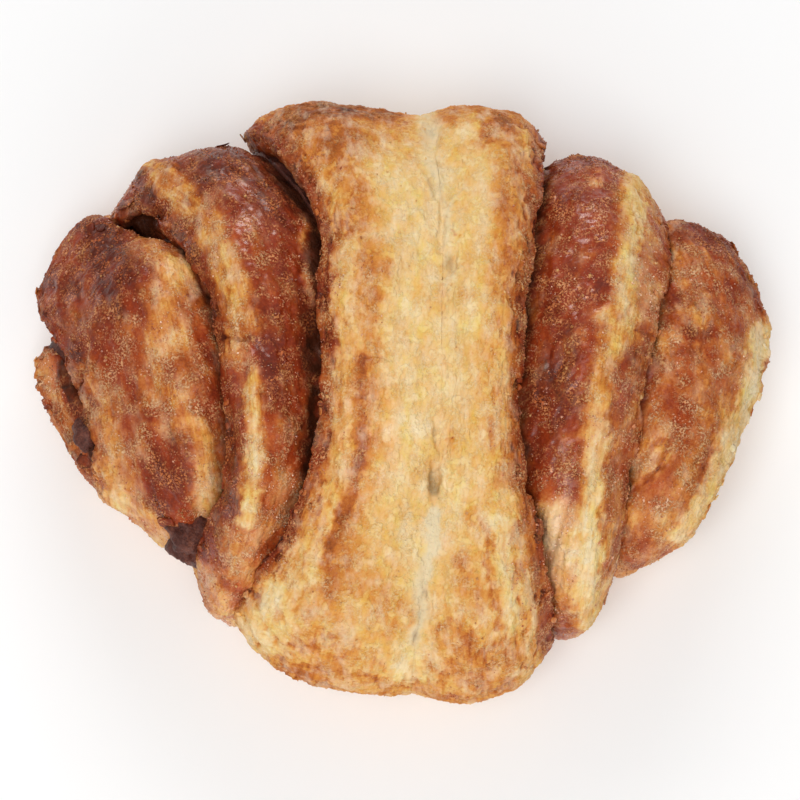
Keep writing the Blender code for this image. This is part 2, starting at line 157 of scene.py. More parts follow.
# Lumps that boiled out: X, Y on the picture, height of the middle above the crust that shows there, then the
# offset and radius of each of the balls that run together.
LUMPS = (
    (-35.4, -22.8, -0.6, (
        (0, 0, 0, 4.3), (2.6, -1.6, -1.4, 4.0), (-2.2, 1.6, -0.6, 3.0), (1.2, -2.6, -4.0, 3.6),
        (1.8, 1.6, 0.2, 2.8), (-1.4, -1.6, -2.0, 3.2), (2.4, -4.2, -5.0, 2.4), (3.4, -0.6, 1.8, 2.6),
        (3.2, -3.0, 0.0, 2.8),
    )),
    (-53.9, -6.6, -0.5, ((0, 0, 0, 2.3), (-1.0, 1.6, -0.4, 1.7), (0.6, -1.2, -1.2, 1.8))),
)
LUMP_GRID, LUMP_SQUEEZE, LUMP_NOISE = (36, 20), (0.9, 1.0, 0.8), 0.22

# Grid of each turn: rows over the top and under the foot, then columns down the end face, down the cut
# face, over the strip that shows and under the turn above it.
PIECES = ("outer_turn", "second_turn", "third_turn", "roll_end")
GRID = (
    (400, 36, 14, 12, 84, 0),
    (400, 36, 10, 12, 74, 5),
    (320, 36, 20, 10, 96, 6),
    (170, 24, 16, 8, 44, 4),
)
STRIP_SHOWN = (1.0, 1.25, 1.25, 3.0)
# Height of each turn's underside above the one before it, and how far the underside is drawn in for each
# millimetre that is cut off it.
BASE_STEP, UNDER_DRAWN = 0.05, 1.6

# What shows on each turn, painted on the picture. Strokes: points of a line, then channel, amount and half
# width of each mark along it. Spots, by channel: amount, X, Y, radius across, radius along, tilt in degrees.
# Channels: bake (darkness of the crust), coat (cinnamon and sugar), syrup and shade (dark syrup, and painted
# shade in grooves, on cut faces, in pores and in hollows), gloss (melted sugar) and dry (floury white).
VALLEY_LINE = ((5, 48), (5, 43), (6, 38), (7, 33), (8, 28), (9, 22), (8.6, 12), (7.6, 2), (6.5, -8),
               (6, -16), (6, -20), (5, -26), (3.2, -31), (3.8, -36), (2.5, -41), (2, -46))
L1_STRIP = ((-41, 38.5), (-38, 36), (-35, 33), (-32, 28), (-30, 24), (-28.2, 19), (-27, 15), (-26.6, 12))
L1_STRIP_LOW = ((-25, 4), (-24.4, 0), (-24.4, -7), (-25, -14), (-26, -20))
R1_STRIPE = ((39, 36), (39, 30), (38.5, 25), (37.5, 15), (36, 10), (34.5, 4), (33, -5), (32.5, -20),
             (32, -30), (31.5, -37))
R2_STRIPE = ((61, 12), (60, 3), (57, -5), (54, -12), (51, -18), (47, -23))
STROKES = (
    (
        (VALLEY_LINE, ("dry", 0.42, 2.0)),
        (((6, -20), (5, -26), (3.2, -31), (3.8, -36), (2.5, -41)), ("dry", 0.5, 1.6)),
        (((-11.8, 23), (-11.4, 10)), ("coat", 0.5, 0.6), ("bake", 0.2, 0.6)),
        (((14.6, -21), (16.2, -30), (16.6, -38)), ("bake", 0.16, 0.35)),
        (((16.4, -21), (18.2, -30), (18.9, -38)), ("bake", 0.16, 0.35)),
        (((17.9, -22), (19.9, -30), (21, -37)), ("bake", 0.16, 0.35)),
        (((16, -22), (18, -30), (19, -38)), ("bake", -0.09, 3.0)),
        (((-22, -32), (-25.5, -36), (-27.5, -40)), ("bake", -0.25, 2.5), ("coat", -0.9, 3.0)),
        (((-13.6, -19), (-16, -28), (-20.5, -36)), ("bake", 0.14, 0.35)),
        (((-12.2, -20), (-14.6, -29), (-18, -37)), ("bake", 0.14, 0.35)),
        (((-21, -40), (-14, -43), (-6, -44)), ("bake", 0.12, 0.4)),
        (((-19, -43), (-12, -46), (-3, -47)), ("bake", 0.12, 0.4)),
        (((-10.8, -17), (-13, -25), (-15.5, -31)), ("bake", -0.22, 0.6)),
        (((-6.8, 7), (-6.8, -4), (-7, -12), (-8.2, -16), (-9.6, -20), (-11.6, -23.5), (-13.4, -27)),
         ("bake", 0.14, 1.2)),
        (((-5, 7), (-5, -4), (-5.4, -12), (-7, -16), (-8, -20), (-10, -23.5), (-12, -27)),
         ("bake", 0.16, 2.8)),
        (((18, -24), (19, -32), (20, -40)), ("bake", 0.1, 4.0)),
        (((-14, 46), (-4, 47), (12, 47)), ("bake", 0.08, 5.0)),
        (((-6.6, 7), (-6.6, -4), (-6.8, -12), (-8, -16), (-9.6, -20), (-11.6, -23.5)), ("coat", 0.16, 1.3)),
        (((-15.5, -27), (-19, -35), (-22, -42)), ("bake", -0.2, 4.0), ("coat", -0.5, 3.6)),
        (((-6.5, 7.2), (-4, 6.8), (-1, 7.3)), ("bake", 0.14, 0.5)),
        (((13.5, -20), (15.2, -29), (16, -38)), ("bake", 0.2, 0.45)),
        (((16.5, -21), (18.5, -30), (19.5, -38)), ("bake", -0.2, 1.8)),
        (((19, -21), (21, -30), (23, -38)), ("dry", 0.6, 0.6)),
        (((17.5, 46), (18, 33), (17, 20)), ("bake", 0.16, 2.4)),
        (((-19, 48), (-14, 50), (-6, 50), (0, 49)), ("bake", 0.3, 2.6)),
        (((8, 48.5), (12, 49.5), (18, 47.5)), ("bake", 0.26, 2.4)),
        (((-24, -45), (-17, -48), (-8, -49.5), (0, -49.5), (10, -51), (18, -49.5)), ("bake", 0.24, 2.8)),
    ),
    (
        (L1_STRIP, ("bake", -0.18, 2.8), ("coat", -0.8, 3.0), ("gloss", -0.7, 3.0)),
        (L1_STRIP_LOW, ("bake", -0.36, 1.4), ("coat", -0.85, 1.6), ("gloss", -0.6, 1.6)),
        (((-45, 38), (-40, 33), (-36, 28), (-33, 20), (-31, 12)), ("bake", 0.1, 1.6)),
        (((-22, -32), (-25.5, -36.5), (-27.5, -41)), ("bake", -0.3, 2.2), ("coat", -0.9, 2.6),
         ("syrup_and_shade", -1.0, 2.6)),
        (((-29.5, 0), (-28.5, -10), (-28.5, -19)), ("bake", 0.12, 1.2)),
        (((-30, 11.2), (-27.5, 10.4), (-25.5, 10.5)), ("bake", 0.2, 0.5)),
        (((-23.7, 2), (-23.5, -6)), ("bake", 0.2, 0.4)),
        # Dark down the left turn's inner flank towards the groove: painted shade.
        (((-24, 43), (-19.5, 38), (-16.5, 32), (-15.4, 25), (-15.6, 5), (-15.6, -10), (-17.5, -22)),
         ("syrup_and_shade", 0.3, 1.6)),
        (((-19, 36), (-17.5, 25), (-17.5, 5), (-17, -10)), ("bake", 0.08, 2.6)),
        (((-34, -29), (-31, -34), (-28, -38)), ("bake", -0.3, 2.2), ("coat", -0.6, 2.4)),
        (R1_STRIPE, ("bake", -0.26, 2.2), ("coat", -0.9, 2.4), ("gloss", -0.7, 2.5)),
        (((34, -2), (33, -14), (32.3, -28)), ("bake", -0.1, 1.2)),
        (((42, 25), (42.3, 18), (41, 12)), ("bake", 0.12, 1.4)),
        (((41.5, 12), (40, 5)), ("bake", 0.16, 1.4)), (((37.3, -22), (36.8, -29)), ("dry", 0.5, 0.5)),
    ),
    (
        (((-39, 19), (-40, 10), (-40.5, 2), (-39, -3)), ("bake", -0.12, 4.2), ("coat", -0.6, 4.6)),
        (((-45, 26), (-41, 24), (-38, 21)), ("bake", -0.2, 2.2), ("coat", -0.5, 2.4)),
        (((-34, -5), (-33, -12), (-33, -18)), ("bake", -0.3, 2.0), ("coat", -0.6, 2.2)),
        (((-50, -16.5), (-45, -20), (-40, -23)), ("bake", -0.24, 2.2), ("coat", -0.6, 2.4)),
        (((-53, 4), (-50, -6), (-46, -16)), ("bake", -0.1, 3.0), ("coat", -0.45, 3.2)),
        # Dark along the slit near the left end: painted shade in it.
        (((-54.5, 9), (-54, 4), (-53, -1)), ("bake", 0.2, 1.2)),
        (R2_STRIPE, ("bake", -0.3, 1.9), ("coat", -0.6, 2.1)),
        (((63, 12), (61.8, 2), (58.8, -6), (55.5, -13.5), (52, -19.5)), ("bake", 0.2, 0.6)),
        (((53.5, -5), (51.5, -12), (48.5, -18)), ("bake", 0.14, 0.7)),
        (((47.5, 20), (50, 21), (52.5, 20)), ("bake", -0.16, 0.7)),
        (((51.5, 17.5), (53.5, 17), (55, 15)), ("bake", -0.14, 0.7)),
        (((45.5, 9.3), (48, 10), (51, 9.6)), ("bake", -0.12, 0.6)),
        (((45, -11), (43, -12.5), (41, -14)), ("bake", 0.18, 0.6)),
    ),
    (
        # Dark along the slit in the roll's end: painted shade in it.
        (((-62, 12), (-59.5, 9.5), (-56.5, 7.5)), ("bake", 0.3, 0.9)),
        (((-60.5, 8), (-60, 4), (-59, 1)), ("bake", -0.15, 1.6)),
    ),
)
SPOTS = (
    {
        "bake": (
            (0.2, -9, 46, 9, 5), (-0.05, -1, 33, 6, 8), (0.14, -10, 39, 2.6, 4.2),
            (0.14, -7.6, 35, 2.4, 1.8), (0.12, -7.5, 31, 2, 2.6), (0.16, -4.8, 23.5, 3.8, 2.8),
            (0.14, -4, 18.3, 1.6, 2.2), (0.13, -5, 12, 1.5, 4.5), (0.16, 11.5, 18.5, 1.4, 1.4),
            (0.14, 9, -6, 1.6, 1.7), (0.14, 12, -19.5, 1.1, 3), (0.16, 10.5, -27.5, 2, 1.9),
            (0.14, 12, -33, 2.5, 4.2), (0.17, -5, -33, 8.5, 9.5), (0.09, 11, -34, 7, 10),
            (0.12, -16.5, -31, 4.5, 8.5, -20), (0.14, -12, -43, 9, 4.5), (0.2, 11.5, -43.5, 6.5, 5.5),
            (-0.14, -1, -1, 5, 16), (-0.1, 3, -30, 4, 9), (-0.1, 2, 26, 5, 10),
            (0.25, 14.5, 44, 1.6, 1.6), (0.25, 4, -33, 0.5, 1.0), (0.25, 2.5, -40.5, 0.5, 1.0),
            (0.4, 9, 29, 0.35, 0.35), (0.4, 9.5, 28.5, 0.3, 0.3), (0.4, 10.3, 28, 0.3, 0.3),
            (0.4, 5.3, -22.3, 0.35, 0.35), (0.4, 9.2, -6.2, 0.35, 0.35), (-0.2, 0.5, -44.5, 1.5, 4),
        ),
        "coat": (
            (0.25, -10, 39, 2.4, 4), (0.25, -4.8, 23.5, 3.6, 2.6), (0.2, -5, 12, 1.5, 4.5),
            (0.3, -16.5, -31, 4.5, 8, -20), (0.2, 11.5, -43.5, 6, 5), (0.5, 14.5, 44, 1.6, 1.6),
        ),
        "dry": (
            (0.5, 4.4, 36, 0.6, 2.8, 30), (0.5, 9.6, 34, 0.6, 2.4, -35), (0.4, 10.4, 30, 0.6, 2.2, -30),
            (0.5, 6.5, 37, 1.6, 4.5, 15), (0.4, 8, 29, 1.2, 4.5, -12), (0.5, 6, -23, 1.6, 4),
            (0.5, 5, 45, 2.4, 3.4), (0.6, -8, -39.5, 1.6, 0.9, 20), (0.5, -14, -36, 1.5, 0.9, 30),
            (0.5, -3.5, -44, 1.2, 0.9),
        ),
        "gloss": (
            (0.3, -5, -2, 6, 18),
        ),
        # Dark in and between the valley's pores and dents: painted shade in their hollows.
        "syrup_and_shade": (
            (0.5, 9, 23, 0.9, 2.0), (0.62, 6, -14, 1.1, 3.0), (0.45, 4, -33, 0.6, 1.2),
            (0.45, 2.6, -40.5, 0.6, 1.4), (0.4, 5, 45.5, 1.2, 2.6), (0.3, 3.4, -37, 1.0, 4.0),
            (0.5, 6, -6, 0.6, 2.2),
        ),
    },
    {
        # The paler spots at (-25, 29) and (32.3, 29), where the gloss spots lie, are painted highlights on
        # the crests. The pale patch at (-19.5, -16), with less coat there too, is partly paler crust and
        # partly painted highlight.
        "bake": (
            (-0.26, -19.5, -16, 3.8, 10.5), (-0.04, -29, 19, 2.4, 7, 15), (-0.15, 26.5, -25, 4, 9),
            (-0.18, 42, 17, 2.4, 8), (-0.05, -25, 30, 5, 12), (-0.05, 30, 25, 5, 14),
            (-0.2, -26, -27, 4, 7), (0.12, -22.5, 7.5, 3.6, 4.5), (-0.16, 26.5, -25, 3.6, 9),
            (-0.18, 42, 19, 2.2, 8.5), (-0.1, 27, -25, 3.4, 9), (-0.06, 38, 28, 3, 9),
            (-0.1, 32.5, -20, 2, 12), (0.1, -32, 38, 4, 4), (-0.06, -25, 29, 2.4, 5, 15),
            (-0.14, -27, 7.5, 3, 3), (-0.14, -26, -26, 5, 9), (0.14, -26.5, -34.5, 3, 2),
            (-0.3, -16.8, 28, 1.0, 2.6), (-0.3, -15.6, 19, 0.8, 3), (0.1, -43.5, 36, 4, 3, 40),
            (0.07, -33, 41, 7, 4), (-0.1, -20, -18, 3.6, 9), (0.05, -26, -30, 5, 6),
            (-0.08, 27, -26, 3.4, 7), (-0.12, -18, 12, 1.6, 20), (0.04, 30, 25, 5, 12),
            (0.06, -31, -28, 4, 6), (0.12, 31, 40, 5.5, 2.4), (-0.06, 32.3, 29, 2.6, 4.5),
            (0.1, 27, 0.5, 4, 6.5), (-0.16, 33.2, 37, 1.1, 1.1), (-0.16, 34.2, 14.5, 1.1, 1.6),
            (-0.14, 31, 11, 1.3, 2.2), (-0.12, 26, -21, 4, 6), (-0.14, 29.5, -30, 3, 5.5),
            (0.25, 33.7, -19, 0.4, 0.8), (0.25, 33.5, -21.5, 0.4, 1.0), (-0.1, 42.5, 33, 3, 4),
            (-0.06, 37.5, -5, 1.8, 5),
        ),
        "coat": (
            (-0.25, -19.5, -16, 3.8, 10.5), (-0.2, 26.5, -25, 4, 9), (-0.35, -27, 7.5, 3, 3),
            (-0.4, -26, -26, 5, 9), (0.3, -26.5, -34.5, 3, 2), (-0.7, -16.8, 28, 1.0, 2.6),
            (-0.7, -15.6, 19, 0.8, 3), (-0.35, 27, -26, 3.4, 8), (-0.6, 33.2, 37, 1, 1),
            (-0.6, 34.2, 14.5, 1, 1.5), (-0.6, 31, 11, 1.1, 1.9), (-0.3, 26, -21, 4, 6),
            (-0.4, 29.5, -30, 3, 5.5), (-0.4, 42.5, 33, 3, 4),
        ),
        "dry": (
            (0.7, -27, 6, 0.5, 0.5),
        ),
        "gloss": (
            (0.8, -25, 29.5, 2.6, 5, 15), (0.4, -22.5, 8, 3.4, 4.5), (0.3, -18.8, -13, 1.6, 6),
            (0.9, 32.3, 29.5, 2.6, 3.6), (0.5, 31, 18, 3, 5), (-0.2, 27, 0.5, 4, 6),
        ),
        # The dark spot at (-43, 30.5) is painted shade in the hollow under the curled end.
        "syrup_and_shade": (
            (-0.6, -16.8, 28, 1.0, 2.6), (-0.6, -15.6, 19, 0.8, 3), (0.8, -43, 30.5, 3.2, 2.2, 35),
        ),
    },
    {
        "bake": (
            (0.06, -54, 18, 8, 10), (0.02, -40, -14, 3, 5.5), (0.12, 53, -17, 5, 6),
            (0.07, -50, 21, 9, 6), (0.04, -33, -12, 3, 8), (0.07, -36, -8, 4, 8),
            (0.14, -48, 25, 7, 4.5, -20), (0.05, -52, 17, 6, 6), (0.12, 50, 16, 5, 6),
            (0.16, -48, 26.5, 8, 2.6, -20), (-0.04, -57, 17, 3, 2.5), (0.1, -38, 7, 2.4, 3.2),
            (0.1, -42, -2.5, 2, 2), (0.1, -40, -14, 3, 5.5), (-0.24, -54, -1, 1, 1),
            (-0.2, -56.5, -3.8, 1.6, 1.1), (-0.1, -58.5, 5, 2, 3), (0.24, 52, 28, 7, 3, -15),
            (0.2, 58.5, 20, 3, 5, 20), (-0.1, 50, 15.5, 3.5, 3.6), (0.12, 51, 11, 3.4, 1.2),
            (0.1, 47.5, -2.5, 2, 6), (-0.1, 43, -6, 2.2, 6.5), (-0.06, 44, -19, 5, 5),
            (-0.14, 47, -1, 3.4, 7), (-0.1, 59, 1, 2.4, 7), (-0.1, -48.5, -11, 4, 6),
            (-0.06, -41, 8, 4, 9),
        ),
        "coat": (
            (0.2, -50, 21, 9, 6), (0.7, -38, 7, 2.4, 3.2), (0.7, -42, -2.5, 2, 2),
            (0.6, -37.5, -1.5, 2.4, 2), (0.7, -40, -14, 3, 5.5), (0.4, 52, 28, 7, 3, -15),
            (0.3, 58.5, 20, 3, 5, 20), (-0.3, 50, 15.5, 3.5, 3.6), (0.4, 51, 11, 3.4, 1.2),
            (0.4, 47.5, -2.5, 2, 6), (-0.3, 43, -6, 2.2, 6.5), (-0.3, -48.5, -11, 4, 6),
        ),
        "gloss": (
            (0.4, -55, 18, 5, 4),
        ),
        # Dark in the hollow where a lump of filling sits: syrup, and painted shade.
        "syrup_and_shade": (
            (0.9, -54, -7, 2.2, 3.2, 20),
        ),
    },
    {
        "bake": (
            (0.12, -56, 2, 1.2, 6, 10), (-0.14, -60, 5, 2, 3), (-0.2, -56.5, -4, 1.6, 1.4),
        ),
        "coat": (
            (0.4, -60, 8, 3, 4),
        ),
        # Dark in the hollow where a lump of filling sits: syrup, and painted shade.
        "syrup_and_shade": (
            (0.6, -56, -7, 2, 3),
        ),
    },
)
# Bake and coat in from each rim where nothing is painted: inset in mm, bake, coat, for left and right.
CRUST_LEFT = (
    ((0, 0.78, 0.8), (1.2, 0.72, 0.6), (2.4, 0.54, 0.15), (4.5, 0.46, 0), (8, 0.5, 0), (12, 0.42, 0),
     (17, 0.34, 0)),
    ((0, 0.8, 0.9), (3, 0.76, 0.95), (8, 0.74, 1), (14, 0.8, 1), (20, 0.9, 0.9)),
    ((0, 0.8, 0.8), (4, 0.7, 0.9), (12, 0.72, 1), (22, 0.66, 0.8), (30, 0.8, 0.8)),
    ((0, 0.66, 0.5), (4, 0.72, 0.6), (8, 0.85, 0.8)),
)
CRUST_RIGHT = (
    ((0, 0.74, 0.8), (1.6, 0.68, 0.5), (3, 0.5, 0.1), (6, 0.44, 0), (9, 0.36, 0), (14, 0.32, 0)),
    ((0, 0.7, 0.7), (3, 0.62, 0.6), (8, 0.72, 1), (16, 0.74, 1), (22, 0.84, 0.9)),
    ((0, 0.6, 0.3), (4, 0.6, 0.45), (10, 0.64, 0.6), (18, 0.66, 0.6), (24, 0.8, 0.8)),
    ((0, 0.7, 0.6), (8, 0.8, 0.8)),
)
# Share of the strip from which dark syrup and painted shade darken the groove, left and right.
SYRUP_AND_SHADE_FROM = ((1, 1), (0.74, 0.86), (0.9, 0.88), (0.9, 0.9))
# Pores, creases and raised folds on the picture: turn, X, Y, radius across, radius along, tilt, depth.
DENTS = (
    (0, 9, 23, 0.8, 2.0, 0, 1.0), (0, 6, -14, 1.1, 3.0, 0, 1.7),
    (0, 4.4, 36, 0.5, 2.8, 30, -0.55), (0, 9.6, 34, 0.5, 2.4, -35, -0.5), (0, 6.2, 31.5, 0.5, 3, -10, -0.55),
    (0, 10.4, 30, 0.5, 2.2, -30, -0.45), (0, 3.4, 30.5, 0.5, 2.2, 25, -0.45),
    (0, 7, 41.5, 0.6, 2.6, -20, -0.5), (0, 6, -6, 0.45, 2.0, 0, 0.7),
    (0, 4, -33, 0.45, 0.9, 0, 0.6), (0, 2.5, -40.5, 0.45, 0.9, 0, 0.6), (0, 7, 37, 0.8, 4, 15, -0.5),
    (0, 8.3, 29, 0.7, 4, -12, -0.45), (0, 5.5, 45, 1.2, 3, 0, 0.6), (0, -4, 7, 3, 0.4, 0, 0.35),
    (1, 33.7, -19, 0.35, 0.7, 0, 0.5), (1, 33.5, -21.5, 0.35, 0.9, 0, 0.5),
    (1, -27.7, 10.4, 2.6, 0.5, -8, 0.7), (1, -23.7, -2, 0.35, 4, 0, 0.4), (1, -43, 30.5, 2.6, 1.5, 35, 2.0),
    (2, 47.5, 9.6, 3.4, 0.5, 8, -0.4), (2, 47.5, 7.9, 3.4, 0.5, 8, 0.4), (2, 43, -12.5, 2.4, 0.4, 35, 0.4),
    (2, 51, 13, 3, 0.4, 0, 0.3), (2, -54, 5, 0.5, 4.5, -12, 0.8), (2, -52, 5, 0.3, 4.5, -14, 0.4),
    (2, -54, -7, 1.6, 2.6, 20, 1.5), (3, -59.5, 9.5, 3.2, 0.6, -40, 0.9),
)

# Torn flakes that stand out of the outline: X and Y on the picture, heading in degrees, length.
TEETH = (
    (-53, 29.5, 110, 2.2), (-51, 29.5, 80, 1.6), (-46.5, 34, 160, 3.4), (-47, 32.5, 190, 2.6),
    (-31, 44, 85, 2.6), (-27, 44, 70, 1.8), (-39, -21.5, 200, 3.0), (-53.8, -10.5, 215, 2.6),
    (-55.5, -7, 200, 2.2), (-58, -3, 205, 2.0), (-24.5, 44, 170, 2.0), (24, 44, 10, 2.0),
    (44.5, 31, 20, 1.8), (35.5, -34, -40, 1.8), (57, -8, -30, 1.4),
)
# Places along a flake, its width there and the ring round it, and limits of length, half width and curl.
FLAKE_STATIONS, FLAKE_WIDTHS = (0.0, 0.1, 0.4, 0.75, 0.95, 1.0), (0.0, 0.8, 1.0, 0.95, 0.7, 0.0)
FLAKE_RING = ((-1, 0), (-0.4, -0.13), (0.4, -0.13), (1, 0), (0.4, 0.13), (-0.4, 0.13))
FLAKE_LENGTH, FLAKE_BREADTH, FLAKE_CURL = (0.6, 1.5), (0.35, 0.9), (0.0, 0.3)
MASKS = ("bake", "coat", "syrup_and_shade", "gloss", "dry", "strand")
# Distance on the picture within which a point counts as showing at a place.
NEAR = 0.7
# How many times as long as wide noise is along a strip.
STRETCH = 1.9

# Grains are octahedrons: corners and faces.
OCTAHEDRON = np.array([(1, 0, 0), (-1, 0, 0), (0, 1, 0), (0, -1, 0), (0, 0, 1), (0, 0, -1)], float)
OCTAHEDRON_FACES = np.array(
    [(0, 2, 4), (2, 1, 4), (1, 3, 4), (3, 0, 4), (2, 0, 5), (1, 2, 5), (3, 1, 5), (0, 3, 5)]
)

# Number of random directions in a noise, the seed of everything random, and each kind of noise: size in
# millimetres, octaves, and what is added to the seed.
NOISE_TABLE, SEED = 1024, 41
NOISES = {
    "rag": (5.0, 2, 0), "torn": (7.0, 1, 3), "fine_rag": (0.9, 3, 5), "wander": (5.0, 3, 11),
    "wander_up": (5.0, 3, 15), "fray": (1.5, 2, 17), "rim": (2.5, 2, 19), "broad_bake": (7.0, 3, 23),
    "bake": (2.6, 3, 27), "coat": (3.2, 4, 29), "unevenness": (9.0, 2, 31), "gloss": (2.6, 3, 33),
    "groove_syrup_and_shade": (3.0, 3, 35), "wrinkles": (2.6, 3, 37), "creases": (3.0, 2, 41), "warp": (1.0, 2, 47),
    "layers": (4.0, 1, 53), "slits": (1.1, 2, 57), "slit_patches": (5.0, 2, 58), "waves": (6.0, 2, 59),
    "sugar_crust": (0.8, 2, 61), "dent_shift": (2.6, 2, 63), "sheets": (4.2, 4, 67), "filling": (2.6, 3, 71),
    "lumps": (1.9, 3, 83), "clumps": (2.8, 3, 91),
}

# Ragged rims: mean radius of the section, height, reach in from the rim, and how much calmer the cut face is.
MEAN_RADIUS, RAG_HEIGHT, RAG_REACH, RAG_EASED = 24.0, 1.1, 1.6, 0.4
# How far noise shifts what is painted, to the side, up, at its edges, and in from a rim.
WANDER, WANDER_UP, FRAY, RIM_WANDER = 0.7, 1.1, 0.5, 0.5
# Strength of the noise of each mask, and dark syrup with painted shade on the cut face, for each turn where
# they differ.
BAKE_NOISE, COAT_NOISE, GLOSS_NOISE = (0.08, 0.12, 0.12, 0.12), 0.6, 1.3
GLOSS_OF_COAT, CUT_SYRUP_AND_SHADE = (0.25, 0.45, 0.25, 0.25), (0.8, 0.8, 0, 0)
# Towards the foot, between these heights, the crust turns evenly baked and nearly bare.
FOOT_FADE, FOOT_BAKE, FOOT_BARE = (4, 12), 0.5, 0.8
# Slits between layers, how much painted shade darkens them and how deep they are on each turn; peeled sheets,
# their number, step and dark edge.
SLIT_SHADE, SLIT_DEPTH = (0.3, 0.14, 0.14, 0.14), (0.5, 0.28, 0.28, 0.28)
SHEETS, SHEET_STEP, SHEET_EDGE_BAKE = 3.4, 0.26, 0.09
# How far strands and flakes reach in from a rim, creases, and the warping of the layers' steps.
STRAND_REACH, FLAKY_REACH, CREASE_WIDTH = 4.5, 1.2, 0.12
LAYER_WARP, WARP_HEIGHT = (1.6, 14.0), 1.1
# Height and pitch of the steps across the front of the outer turn.
FRONT_STEP, FRONT_PITCH = 0.22, 1.5

# Noise of the finishes: size in millimetres, detail and roughness. Then where sugar starts, the size of pits,
# scales of drawn-out coordinates, and depths of bump in millimetres.
MOTTLE, SPECKLE, FLAKE_EDGES, HUE = (1.8, 4.0, 0.6), (0.42, 3.0, 0.7), (1.7, 4.0, 0.6), (2.0, 4.0, 0.6)
SUGAR_FINE, SUGAR_PATCH, SUGAR_FROM, PIT_SIZE = (0.36, 2.0, 0.6), (3.2, 4.0, 0.6), 0.47, 0.6
MOTTLE_SCALE, HUE_SCALE, STREAK_SCALE = (1.1, 0.55, 0.55), (1.0, 0.5, 0.5), (100 / 0.5, 100 / 7.0, 1)
CRUST_BUMP, FILLING_BUMP = 0.3, 0.35

# Colours, as sRGB from 0 to 255: bare and coated crust by bake, syrup by level, sugar and crumbs by tint.
GOLD = (
    (0.0, (243, 224, 184)), (0.2, (238, 207, 148)), (0.4, (229, 180, 110)), (0.55, (216, 147, 74)),
    (0.7, (190, 109, 48)), (0.85, (148, 76, 34)), (1.0, (88, 44, 24)),
)
RUSSET = (
    (0.0, (230, 184, 140)), (0.3, (212, 134, 82)), (0.5, (184, 90, 42)), (0.7, (150, 58, 25)),
    (0.85, (122, 44, 22)), (1.0, (86, 34, 21)),
)
SYRUP = ((0.2, (56, 27, 23)), (0.5, (90, 48, 40)), (0.75, (120, 68, 52)), (1.0, (164, 102, 72)))
AMBER = ((0.0, (112, 50, 28)), (0.45, (170, 92, 56)), (0.8, (208, 138, 96)), (1.0, (240, 200, 168)))
TOAST = ((0.0, (110, 58, 34)), (0.5, (186, 122, 66)), (1.0, (232, 190, 124)))
# Floury white, dark syrup brown that also paints shade in grooves, pores and hollows, warm tint of
# reflections and the white of pale patches.
DRY, SYRUP_AND_SHADE_COLOUR, WARM, WHITENING = (229, 210, 172), (66, 31, 17), (255, 230, 216), (246, 226, 196)
# Linear colour that yellow patches are multiplied by.
YELLOWING = (0.98, 0.97, 0.62, 1.0)

# Lights: name, place and aim in metres, sides, share of the key light's power.
LIGHTS = (
    ("key_above", (-0.1, -0.25, 0.7), (0, 0, 0.02), (0.5, 0.5), 1.0),
    ("softbox_behind", (0.0, 0.7, 0.36), (0, 0, 0.03), (0.5, 0.22), 0.8),
    ("softbox_front", (0.1, -0.75, 0.35), (0, 0, 0.02), (0.8, 0.3), 0.6),
)


def millimetres(name, description, default, least=0.0):
    """A setting that is a size in millimetres."""
    return FloatProperty(name=name, description=f"{description}, in millimetres", default=default, min=least)


class DoughSettings(bpy.types.PropertyGroup):
    """Relief of the crust and number of its flakes."""

    unevenness: millimetres("Unevenness", "Height of the crust's broad unevenness", 0.6)
    wrinkles: millimetres("Wrinkles", "Depth of the small wrinkles of the crust", 0.3)
    lamination: millimetres("Lamination", "Height of the steps between dough layers", 0.24)
    layer_pitch: millimetres("Layer pitch", "Distance between dough layers at a rim", 0.95, 0.3)
    raggedness: millimetres("Raggedness", "How far the flaky rims stand in and out", 0.55)
    flakes: IntProperty(
        name="Flakes", description="Number of thin flakes at the rims", default=260, min=0, max=4000
    )


class SugarSettings(bpy.types.PropertyGroup):
    """Sugar and cinnamon grains, and crumbs."""

    count: IntProperty(name="Grains", description="Number of sugar grains", default=19000, min=0, max=24000)
    size: millimetres("Grain size", "Mean radius of a grain", 0.14, 0.05)
    crumbs: IntProperty(
        name="Crumbs", description="Number of loose crumbs of crust", default=900, min=0, max=4000
    )


class StageSettings(bpy.types.PropertyGroup):
    """Floor and lights."""

    floor_colour: FloatVectorProperty(
        name="Floor", description="Colour of the floor", subtype="COLOR", default=(0.96, 0.96, 0.96),
        min=0, max=1,
    )
    ambient: FloatProperty(
        name="Ambient", description="Strength of the surrounding light", default=0.36, min=0
    )
    key_power: FloatProperty(
        name="Key light", description="Power of the large light above", default=3.0, min=0, subtype="POWER"
    )


def curve(stations, values, at):
    """Height at each place of the natural cubic curve that passes through the stations."""
    x, y = np.asarray(stations, float), np.asarray(values, float)
    gap = np.diff(x)
    count = len(x)
    matrix, right = np.zeros((count, count)), np.zeros(count)
    matrix[0, 0] = matrix[-1, -1] = 1
    for i in range(1, count - 1):
        matrix[i, i - 1 : i + 2] = gap[i - 1], 2 * (gap[i - 1] + gap[i]), gap[i]
        right[i] = 6 * ((y[i + 1] - y[i]) / gap[i] - (y[i] - y[i - 1]) / gap[i - 1])
    bend = np.linalg.solve(matrix, right)
    at = np.clip(at, x[0], x[-1])
    i = np.clip(np.searchsorted(x, at) - 1, 0, count - 2)
    before, after, width = at - x[i], x[i + 1] - at, gap[i]
    return (
        (bend[i] * after**3 + bend[i + 1] * before**3) / (6 * width)
        + (y[i] / width - bend[i] * width / 6) * after
        + (y[i + 1] / width - bend[i + 1] * width / 6) * before
    )


def smooth(low, high, value):
    """0 below low and 1 above high, with 3 t^2 - 2 t^3 between them."""
    t = np.clip((value - low) / (high - low), 0, 1)
    return t * t * (3 - 2 * t)


